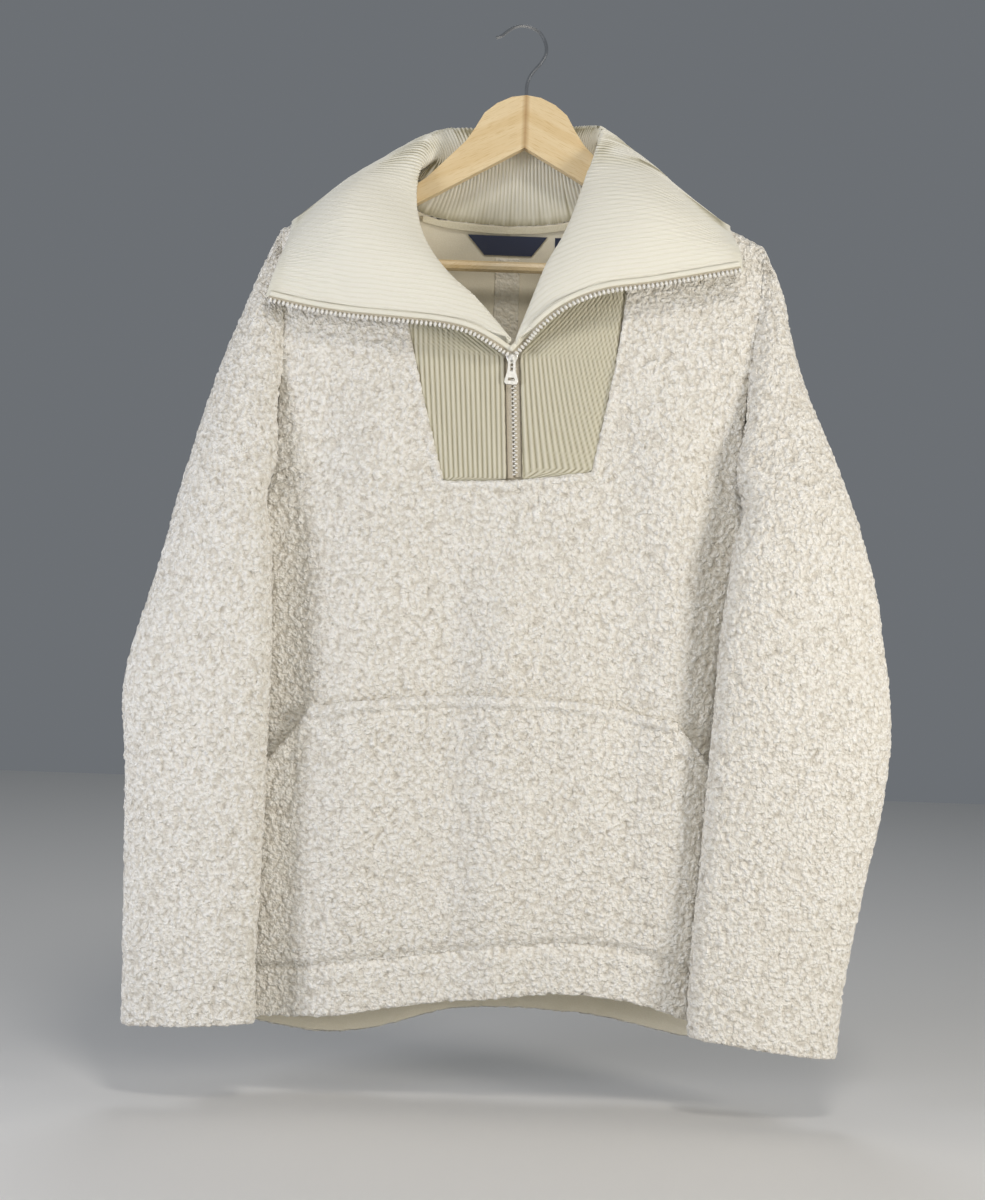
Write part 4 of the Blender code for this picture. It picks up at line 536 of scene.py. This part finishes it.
# The flaps' zip edges, (x, z) in mm.
EDGE_LEFT = ((0, -300), (-14, -292), (-36, -281), (-63, -276), (-98, -274), (-150, -270), (-186, -264),
             (-216, -257))
EDGE_RIGHT = ((2, -300), (16, -283), (41, -259), (75, -243), (119, -236), (162, -226), (200, -217))

# Circular-knitted acrylic rib, steamed: soft and matt, cream on the ribs, with painted shade turning the
# valleys olive-grey.
STITCH_SIZE, SWAY_SIZE = 0.9091 * MM, 22.2222 * MM
rib, tree, bsdf = new_material("rib_knit", Roughness=0.88, Sheen_Weight=0.25, Sheen_Roughness=0.5)
place = add(tree, "ShaderNodeTexCoord").outputs["Object"]
rib_valley_shade = add(tree, "ShaderNodeAttribute", attribute_name="rib").outputs["Fac"]
to_edge = add(tree, "ShaderNodeAttribute", attribute_name="across").outputs["Fac"]
flap_share = add(tree, "ShaderNodeAttribute", attribute_name="flap").outputs["Fac"]
stitches = add(tree, "ShaderNodeTexNoise", {"Vector": place, "Scale": 1 / STITCH_SIZE, "Detail": 3.0})
sway = add(tree, "ShaderNodeTexNoise", {"Vector": place, "Scale": 1 / SWAY_SIZE, "Detail": 1.0})
across = add(tree, "ShaderNodeMath", {0: sway.outputs["Fac"], 1: 2.2 * MM, 2: to_edge},
             operation="MULTIPLY_ADD")
turn = add(tree, "ShaderNodeMath", {0: across.outputs[0], 1: math.tau / FLAP_RIB}, operation="MULTIPLY")
turn = add(tree, "ShaderNodeMath", {0: turn.outputs[0]}, operation="SINE")
# On the flaps this sine gives the fine ribs both their bump and painted shade in their valleys.
fine = add(tree, "ShaderNodeMapRange", {"Value": turn.outputs[0], "From Min": -1.0, "From Max": -0.2,
                                        "To Min": 0.6, "To Max": 0.9})
ribs = add(tree, "ShaderNodeMix", {0: flap_share, 2: rib_valley_shade, 3: fine.outputs[0]})
tone = add(tree, "ShaderNodeValToRGB", {"Fac": ribs.outputs[0]},
           ((0.0, "#9E977C"), (0.22, "#C6C0A8"), (0.5, "#E3DFCD"), (1.0, "#ECE9DC")))
tree.links.new(tone.outputs["Color"], bsdf.inputs["Base Color"])
bump = add(tree, "ShaderNodeBump", {"Strength": 0.5, "Distance": 0.4 * MM, "Height": stitches.outputs["Fac"]})
raised = add(tree, "ShaderNodeMath", {0: fine.outputs[0], 1: flap_share}, operation="MULTIPLY")
bump = add(tree, "ShaderNodeBump", {"Strength": 0.6, "Distance": 0.5 * MM, "Height": raised.outputs[0],
                                    "Normal": bump.outputs["Normal"]})
tree.links.new(bump.outputs["Normal"], bsdf.inputs["Normal"])

co, tri, ribbed = rounded_copy("collar", 2, sharp=62, rounds=2, widest=True)
normals = normals_of(co, tri)
walls = BVHTree.FromPolygons(co.tolist(), tri.tolist())
# A rib is where the wall is thick, so the wall's own thickness tells ribs from valleys.
start = 0.6 * MM
thick = np.full(len(co), RIB_SPACE)
for k in np.nonzero(ribbed)[0]:
    reach = walls.ray_cast(Vector(co[k] - normals[k] * start), Vector(-normals[k]), 6 * MM)[3]
    if reach is not None:
        thick[k] = reach + start
swell = np.where(ribbed, np.clip((thick - RIB_SPACE) / RIB_DEPTH, 0, 1), 0.7)
on_flap = np.clip((-0.014 - co[:, 1]) / 0.016, 0, 1) * ribbed
edge = np.where(co[:, 0] < 0, line_distance(co, EDGE_LEFT), line_distance(co, EDGE_RIGHT))
carve = (1 - np.sqrt(swell)) * 0.45 * (1 - on_flap) + (swell - 0.5) * 0.6 * on_flap
carve += 0.8 * bell(edge - 6.5 * MM, 1.2 * MM) * on_flap
co = co - normals * (np.where(ribbed, carve, 0) * MM)[:, None]
# The rib mark also darkens the valleys in the rib_knit colours: painted shade.
piece = new_piece("collar_rib", co, tri, rib, {"rib": swell, "across": edge, "flap": on_flap})
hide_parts("collar")


# ---------------------------------------------------------------- bib sides
# One panel of the same rib knit on each side of the zip, sewn to it and to the front. The ribs run down the
# left panel and fan out from the zip on the right one.
BIB_RIB = 4.4 * MM
BIB_LEVELS, BIB_STEPS = 70, 190
ZIP_TOP, ZIP_FOOT = np.array((1.0, -296.0)) * MM, np.array((7.0, -414.0)) * MM


def grid_wall(points, thick):
    """A closed wall from a grid of outer points (rows, columns, 3) and a backward offset."""
    rows, columns = points.shape[:2]
    outer = points.reshape(-1, 3)
    co = np.concatenate([outer, outer + thick])
    index = np.arange(rows * columns).reshape(rows, columns)
    quads = np.stack([index[:-1, :-1], index[:-1, 1:], index[1:, 1:], index[1:, :-1]], -1).reshape(-1, 4)
    back = quads[:, ::-1] + rows * columns
    ring = np.concatenate([index[0, :-1], index[:-1, -1], index[-1, :0:-1], index[:0:-1, 0]])
    after = np.roll(ring, -1)
    sides = np.stack([after, ring, ring + rows * columns, after + rows * columns], 1)
    quads = np.concatenate([quads, back, sides])
    return co, np.concatenate([quads[:, [0, 1, 2]], quads[:, [0, 2, 3]]])


def smoothed(values, rounds):
    """Values along the last axis, each eased towards its two neighbours, with both ends kept."""
    values = values.copy()
    for _ in range(rounds):
        values[..., 1:-1] = (values[..., :-2] + 2 * values[..., 1:-1] + values[..., 2:]) / 4
    return values


for side, node, fan, flat, area in ((-1, "bib_left", 0.04, (0.11, 0.26), 0.016),
                                    (1, "bib_right", 0.30, (0.11, 0.27), 0.018)):
    corners = corners_of(NODES[node].data)
    walls = tree_of(node)
    low, high = corners.min(0), corners.max(0)
    rows = []
    for z in np.linspace(low[2] + 0.4 * MM, high[2] - 0.4 * MM, BIB_LEVELS):
        hits = [x for x in np.linspace(low[0], high[0], 160) if seen(walls, x, z) is not None]
        if not hits:
            continue
        row = []
        for x in np.linspace(min(hits) + 0.2 * MM, max(hits) - 0.2 * MM, BIB_STEPS):
            hit = seen(walls, x, z)
            row.append((x, hit.y if hit is not None else (row[-1][1] if row else low[1]), z))
        rows.append(row)
    points = np.array(rows)
    zip_x = np.interp(points[:, :, 2], (ZIP_FOOT[1], ZIP_TOP[1]), (ZIP_FOOT[0], ZIP_TOP[0]))
    away = points[:, :, 0] - zip_x
    count = (away - fan * side * (-0.33 - points[:, :, 2]) * (away / 0.09)) / BIB_RIB
    swell = 0.5 + 0.5 * np.cos(math.tau * count)
    points[:, :, 1] = smoothed(points[:, :, 1], 14) - (swell ** 0.35 * 1.1 - 0.5) * MM
    co, tri = grid_wall(points, np.array((0, 2.6 * MM, 0)))
    # The rib mark paints shade: darker in the valleys, and held low over the whole panel as painted shadow
    # from the flaps above it.
    marks = {"rib": np.concatenate([swell.ravel() ** 0.6 * 0.38, np.full(swell.size, 0.7)])}
    piece = new_piece(node + "_rib", co, tri[:, ::-1], rib, marks)
    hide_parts(node)


# ---------------------------------------------------------------- zip tapes, welts and teeth
# A moulded zip on woven tape. Above the slider each tape is sewn under its flap's folded edge, which stands
# up beside it as a smooth welt, and below it the two rows of teeth meet in one chain.
TOOTH_PITCH, CHAIN_PITCH = 4.0, 1.9
EDGE_TOOTH, CHAIN_TOOTH = (2.3, 4.0, 2.8), (1.5, 3.0, 1.8)
CHAIN = ((2.6, -309), (7.4, -406))

# Woven polyester tape with a tight grain of threads: a dull grey-beige, the tape's own cream darkened
# with painted shade, as beside the teeth it lies in the flaps' folds.
THREAD = 0.6667 * MM
tape, tree, bsdf = new_material("zip_tape", Roughness=0.8)
place = add(tree, "ShaderNodeTexCoord").outputs["Object"]
weave = add(tree, "ShaderNodeTexNoise", {"Vector": place, "Scale": 1 / THREAD, "Detail": 2.0})
tone = add(tree, "ShaderNodeValToRGB", {"Fac": weave.outputs["Fac"]}, ((0.3, "#B3A995"), (0.7, "#C9C0AD")))
tree.links.new(tone.outputs["Color"], bsdf.inputs["Base Color"])
bump = add(tree, "ShaderNodeBump", {"Strength": 0.4, "Distance": 0.2 * MM, "Height": weave.outputs["Fac"]})
tree.links.new(bump.outputs["Normal"], bsdf.inputs["Normal"])

# Injection-moulded acetal: smooth, bright off-white teeth with a small soft highlight and a faint haze.
HAZE_SIZE = 4.0 * MM
acetal, tree, bsdf = new_material("moulded_acetal_teeth", Roughness=0.35, Coat_Weight=0.2)
place = add(tree, "ShaderNodeTexCoord").outputs["Object"]
haze = add(tree, "ShaderNodeTexNoise", {"Vector": place, "Scale": 1 / HAZE_SIZE, "Detail": 2.0})
tone = add(tree, "ShaderNodeValToRGB", {"Fac": haze.outputs["Fac"]}, ((0.3, "#EFECE2"), (0.7, "#FAF8F2")))
tree.links.new(tone.outputs["Color"], bsdf.inputs["Base Color"])


def unit_rows(rows):
    """Each row as a vector of length 1."""
    return rows / np.linalg.norm(rows, axis=1, keepdims=True)


def along(points, step):
    """Points every step along a rounded polyline, and the unit way it runs at each."""
    points = np.array(points, float)
    for _ in range(3):
        cut = [points[0]]
        for a, b in zip(points[:-1], points[1:]):
            cut += [0.75 * a + 0.25 * b, 0.25 * a + 0.75 * b]
        points = np.array(cut + [points[-1]])
    gaps = np.linalg.norm(np.diff(points, axis=0), axis=1)
    reach = np.concatenate([[0], np.cumsum(gaps)])
    where = np.arange(step / 2, reach[-1], step)
    found = np.stack([np.interp(where, reach, points[:, k]) for k in range(points.shape[1])], 1)
    return found, unit_rows(np.gradient(found, axis=0))


bm = bmesh.new()
bmesh.ops.create_cube(bm, size=1.0)
bmesh.ops.bevel(bm, geom=list(bm.edges) + list(bm.verts), offset=0.2, segments=2, affect="EDGES")
bmesh.ops.triangulate(bm, faces=bm.faces)
tooth_co = np.array([v.co for v in bm.verts])
tooth_tri = np.array([[v.index for v in f.verts] for f in bm.faces])
bm.free()


def teeth(name, places, ways, outs, size):
    """A row of rounded teeth, one at each place: size is (along, outward, deep) in mm."""
    co, tri = [], []
    for k, (at, way, out) in enumerate(zip(places, ways, outs)):
        local = tooth_co * (np.array(size) * MM)
        co.append(at + local @ np.array((way, out, np.cross(way, out))))
        tri.append(tooth_tri + k * len(tooth_co))
    piece = new_piece(name, np.concatenate(co), np.concatenate(tri), acetal)


flap = tree_of("collar", "zip_edge_left", "zip_edge_right")
for side, node, line, length in (("left", "zip_edge_left", EDGE_LEFT, 0.235),
                                 ("right", "zip_edge_right", EDGE_RIGHT, 0.22)):
    flat_line, _ = along(line, 2.0)
    depth = []
    for x, z in flat_line * MM:
        hit = seen(flap, x, z + 4 * MM)
        depth.append((hit or flap.find_nearest(Vector((x, -0.055, z + 3 * MM)))[0]).y)
    depth = np.array(depth)
    depth[:3] = np.linspace(-0.0475, depth[3], 4)[:3]
    path = np.stack([flat_line[:, 0] * MM, smoothed(depth, 12) - 1.2 * MM, flat_line[:, 1] * MM], 1)
    outs = unit_rows(np.cross(unit_rows(np.gradient(path, axis=0)), (0, 1, 0)))
    outs *= -np.sign(outs[:, 2].mean())

    strip = np.stack([path - outs * inward * MM for inward in (-1.0, 1.0, 3.0, 5.5)])
    strip[3, :, 1] += 1.5 * MM
    co, tri = grid_wall(strip, np.array((0, 0.9 * MM, 0)))
    piece = new_piece(node + "_tape", co, tri, tape)
    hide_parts(node)

    bend = np.linspace(0, np.pi, 9)
    inwards = 4.3 - 2.3 * np.cos(bend)
    proud = 0.2 + 1.3 * np.sin(bend) ** 0.7
    welt = np.stack([path - outs * (a * MM) - np.array((0, p * MM, 0)) for a, p in zip(inwards, proud)])
    co, tri = grid_wall(welt, np.array((0, 1.6 * MM, 0)))
    # The welt's rib mark paints shade: darker where it turns under at both edges, lightest along its crest.
    swell = np.tile(np.repeat(np.clip(0.25 + 0.5 * np.sin(bend), 0, 1), len(path)), 2)
    piece = new_piece(node + "_welt", co, tri, rib, {"rib": swell})

    places, ways = along(path / MM, TOOTH_PITCH)
    outs = unit_rows(np.cross(ways, (0, 1, 0)))
    outs[outs[:, 2] > 0] *= -1
    teeth("zip_teeth_" + side, places * MM + outs * 1.6 * MM - (0, 0.6 * MM, 0), ways, outs, EDGE_TOOTH)

closed = tree_of("zip_tape_left", "zip_tape_right")
chain, _ = along(CHAIN, CHAIN_PITCH)
places = []
for k, (x, z) in enumerate(chain):
    left_or_right = 1 if k % 2 else -1
    hit = seen(closed, (x + 2.2 * left_or_right) * MM, z * MM)
    level = (hit.y if hit is not None else -0.040) - 0.4 * MM
    places.append(((x + left_or_right) * MM, level, z * MM))
down, sideways = np.array((0.045, 0, -1.0)), np.array((1.0, 0, 0.045))
teeth("zip_chain", np.array(places), [down] * len(places), [sideways] * len(places), CHAIN_TOOTH)

rows = []
for z in np.arange(-302, -411, -3.0):
    middle = np.interp(-z, (309, 406), (2.6, 7.4))
    hit = seen(closed, (middle - 3) * MM, min(max(z, -404), -312) * MM)
    level = (hit.y if hit is not None else -0.040) + 1.6 * MM
    rows.append([((middle + across) * MM, level, z * MM) for across in (-9, -4.5, 0, 4.5, 9)])
co, tri = grid_wall(np.array(rows), np.array((0, 0.8 * MM, 0)))
backing = new_piece("zip_tape_backing", co, tri, tape)


def dress(material, *nodes):
    """Gives CAD nodes that show as they are a material of their own."""
    for node in nodes:
        NODES[node].data.materials.clear()
        NODES[node].data.materials.append(material)


dress(tape, "zip_tape_left", "zip_tape_right")


# ---------------------------------------------------------------- slider and pull tab
# A small cast slider that stays where the two rows meet, and a flat pull tab with a long slot and a small
# window, hinged at its top on the slider's bridge.
# The tab's outline and its two holes, (x, z) in mm from the middle of its top.
PULL_OUTLINES = (
    ((-2.6, -0.6), (2.6, -0.6), (3.2, -2.2), (3.0, -9), (3.6, -14), (5.4, -20), (5.6, -23), (4.6, -24.6),
     (-4.6, -24.6), (-5.6, -23), (-5.4, -20), (-3.6, -14), (-3.0, -9), (-3.2, -2.2)),
    ((-1.5, -3.4), (1.5, -3.4), (1.6, -6), (1.5, -13.2), (0.8, -14), (-0.8, -14), (-1.5, -13.2), (-1.6, -6)),
    ((-2.6, -18.8), (2.6, -18.8), (3.4, -20.4), (3.2, -22), (-3.2, -22), (-3.4, -20.4)),
)
HINGE_X = 1.0 * MM

# Die-cast zinc, enamelled white by spraying: bright, smooth and half metallic, with soft uneven wear.
WEAR_SIZE = 3.3333 * MM
enamel, tree, bsdf = new_material("zip_metal", Metallic=0.35, Roughness=0.3)
place = add(tree, "ShaderNodeTexCoord").outputs["Object"]
wear = add(tree, "ShaderNodeTexNoise", {"Vector": place, "Scale": 1 / WEAR_SIZE, "Detail": 3.0})
tone = add(tree, "ShaderNodeValToRGB", {"Fac": wear.outputs["Fac"]}, ((0.3, "#D9D8D2"), (0.7, "#F0EFEA")))
tree.links.new(tone.outputs["Color"], bsdf.inputs["Base Color"])

curve = bpy.data.curves.new("zip_pull_metal", "CURVE")
curve.dimensions, curve.fill_mode = "2D", "BOTH"
curve.extrude, curve.bevel_depth, curve.bevel_resolution = 0.45 * MM, 0.35 * MM, 2
for outline in PULL_OUTLINES:
    spline = curve.splines.new("POLY")
    spline.points.add(len(outline) - 1)
    for point, (x, z) in zip(spline.points, outline):
        point.co = (x * MM, z * MM, 0, 1)
    spline.use_cyclic_u = True
curve.materials.append(enamel)
pull = bpy.data.objects.new("zip_pull_metal", curve)
bpy.context.scene.collection.objects.link(pull)
pull_low, pull_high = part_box("zip_pull")
pull.location = (HINGE_X, (pull_low.y + pull_high.y) / 2, pull_high.z + 0.4 * MM)
pull.rotation_euler = (math.radians(90), 0, 0)
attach(pull, "pull")
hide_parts("zip_pull")

co, tri = rounded_copy("zip_slider", 2, crease=0.6, rounds=1)
piece = new_piece("zip_slider_metal", co, tri, enamel)
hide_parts("zip_slider")


# ---------------------------------------------------------------- inside the neck
# The centre-back seam is pressed open, so a strip of pile lies on the flat back of the fleece. The neck
# seam is bound with cream tape, and two navy satin labels hang from it.
inside = tree_of("back_left", "back_right")
rows = []
for z in np.arange(-0.2045, -0.86, -0.004):
    row = []
    for x in np.linspace(-0.017, 0.006, 9):
        hit = inside.ray_cast(Vector((x, -0.002, z)), Vector((0, 1, 0)))[0]
        row.append((x, hit.y if hit is not None else np.nan, z))
    rows.append(row)
strip = np.array(rows)
strip[:, :, 1] = smoothed(np.nanmin(strip[:, :, 1], axis=1), 4)[:, None] - 1.6 * MM
co, tri = grid_wall(strip, np.array((0, 2.2 * MM, 0)))
co, tri = split_long(co, tri, 2.6 * MM, np.ones(len(co), bool), passes=3)
rise = nubs(co, 9)
co = co + normals_of(co, tri) * ((rise - 0.3) * 1.2 * MM)[:, None]
# The tuft mark is painted shade: greyer where the pile dips between its nubs.
marks = {"tuft_shade": np.clip(0.3 + rise * 0.6, 0, 1), "pile": np.full(len(co), 0.5)}
piece = new_piece("back_seam_allowance", co, tri, fleece, marks)

# Cotton bias tape, woven and folded: plain cream with a fine even grain.
COTTON_THREAD = 1.1111 * MM
binding, tree, bsdf = new_material("neck_tape", Roughness=0.75)
place = add(tree, "ShaderNodeTexCoord").outputs["Object"]
weave = add(tree, "ShaderNodeTexNoise", {"Vector": place, "Scale": 1 / COTTON_THREAD, "Detail": 2.0})
tone = add(tree, "ShaderNodeValToRGB", {"Fac": weave.outputs["Fac"]}, ((0.3, "#D8D0B4"), (0.7, "#E6DFC8")))
tree.links.new(tone.outputs["Color"], bsdf.inputs["Base Color"])
bump = add(tree, "ShaderNodeBump", {"Strength": 0.5, "Distance": 0.3 * MM, "Height": weave.outputs["Fac"]})
tree.links.new(bump.outputs["Normal"], bsdf.inputs["Normal"])

# Satin-woven polyester label: deep navy, smooth, with threads running across as faint bands.
SATIN_THREAD = 0.62832 * MM
satin, tree, bsdf = new_material("label_cloth", Roughness=0.55, Sheen_Weight=0.2)
place = add(tree, "ShaderNodeTexCoord").outputs["Object"]
weave = add(tree, "ShaderNodeTexWave", {"Vector": place, "Scale": math.tau / (20 * SATIN_THREAD)},
            bands_direction="Z")
tone = add(tree, "ShaderNodeValToRGB", {"Fac": weave.outputs["Fac"]}, ((0.2, "#161F38"), (0.8, "#202B4A")))
tree.links.new(tone.outputs["Color"], bsdf.inputs["Base Color"])

dress(binding, "neck_tape")
dress(satin, "neck_label", "size_tab")


# ---------------------------------------------------------------- hanger and hook
# Two arms of beech glued at the middle and a round trouser bar pegged between them, all varnished. A bent
# steel wire hook is screwed into the top.
GLUE_LINE_X, ARM_SLOPE, ARMS_ABOVE = 6 * MM, 0.49, -0.15
GRAIN_LONG, GRAIN_WIDE = 125 * MM, 8.3333 * MM
PORES_TO_GRAIN = 11.25

# Beech, planed, sanded and clear-varnished: pale tan with the grain along each arm, short fine pores, a
# dark glue line where the arms meet, and the soft shine of the varnish.
wood, tree, bsdf = new_material("beech", Roughness=0.42, Coat_Weight=0.2, Coat_Roughness=0.25)
place = add(tree, "ShaderNodeTexCoord").outputs["Object"]
part = add(tree, "ShaderNodeSeparateXYZ", {0: place}).outputs
off = add(tree, "ShaderNodeMath", {0: part["X"], 1: GLUE_LINE_X}, operation="SUBTRACT")
off = add(tree, "ShaderNodeMath", {0: off.outputs[0]}, operation="ABSOLUTE")
drop = add(tree, "ShaderNodeMath", {0: off.outputs[0], 1: ARM_SLOPE, 2: part["Z"]}, operation="MULTIPLY_ADD")
lay = add(tree, "ShaderNodeCombineXYZ", {"X": part["X"], "Y": part["Y"], "Z": drop.outputs[0]})
stretch = add(tree, "ShaderNodeMapping", {"Vector": lay.outputs[0],
                                          "Scale": (1 / GRAIN_LONG, 1 / GRAIN_WIDE, 1 / GRAIN_WIDE)})
grain = add(tree, "ShaderNodeTexNoise", {"Vector": stretch.outputs["Vector"], "Scale": 1.0, "Detail": 4.0})
pores = add(tree, "ShaderNodeTexNoise", {"Vector": stretch.outputs["Vector"], "Scale": PORES_TO_GRAIN,
                                         "Detail": 2.0})
tone = add(tree, "ShaderNodeValToRGB", {"Fac": grain.outputs["Fac"]}, ((0.3, "#DBC08F"), (0.7, "#E6D1A8")))
fleck = add(tree, "ShaderNodeValToRGB", {"Fac": pores.outputs["Fac"]}, ((0.34, "#EADFC8"), (0.46, "#FFFFFF")))
glue = add(tree, "ShaderNodeValToRGB", {"Fac": off.outputs[0]}, ((0.0002, "#B79A6C"), (0.0005, "#FFFFFF")))
above = add(tree, "ShaderNodeMath", {0: part["Z"], 1: ARMS_ABOVE}, operation="GREATER_THAN")
dark = add(tree, "ShaderNodeMix", {0: above.outputs[0], 6: fleck.outputs["Color"], 7: glue.outputs["Color"]},
           data_type="RGBA", blend_type="MULTIPLY")
shade = add(tree, "ShaderNodeMix", {0: 0.7, 6: tone.outputs["Color"], 7: dark.outputs[2]},
            data_type="RGBA", blend_type="MULTIPLY")
tree.links.new(shade.outputs[2], bsdf.inputs["Base Color"])

# Drawn steel wire, bent and chromed: a mirror-like grey with slight dulling from handling.
HANDLING_SIZE = 5.0 * MM
chrome, tree, bsdf = new_material("chrome_wire", Metallic=1.0, Roughness=0.16)
place = add(tree, "ShaderNodeTexCoord").outputs["Object"]
wear = add(tree, "ShaderNodeTexNoise", {"Vector": place, "Scale": 1 / HANDLING_SIZE, "Detail": 3.0})
tone = add(tree, "ShaderNodeValToRGB", {"Fac": wear.outputs["Fac"]}, ((0.3, "#C9CACB"), (0.7, "#DDDDDD")))
tree.links.new(tone.outputs["Color"], bsdf.inputs["Base Color"])

dress(wood, "hanger_wood", "hanger_bar")
dress(chrome, "hanger_hook")
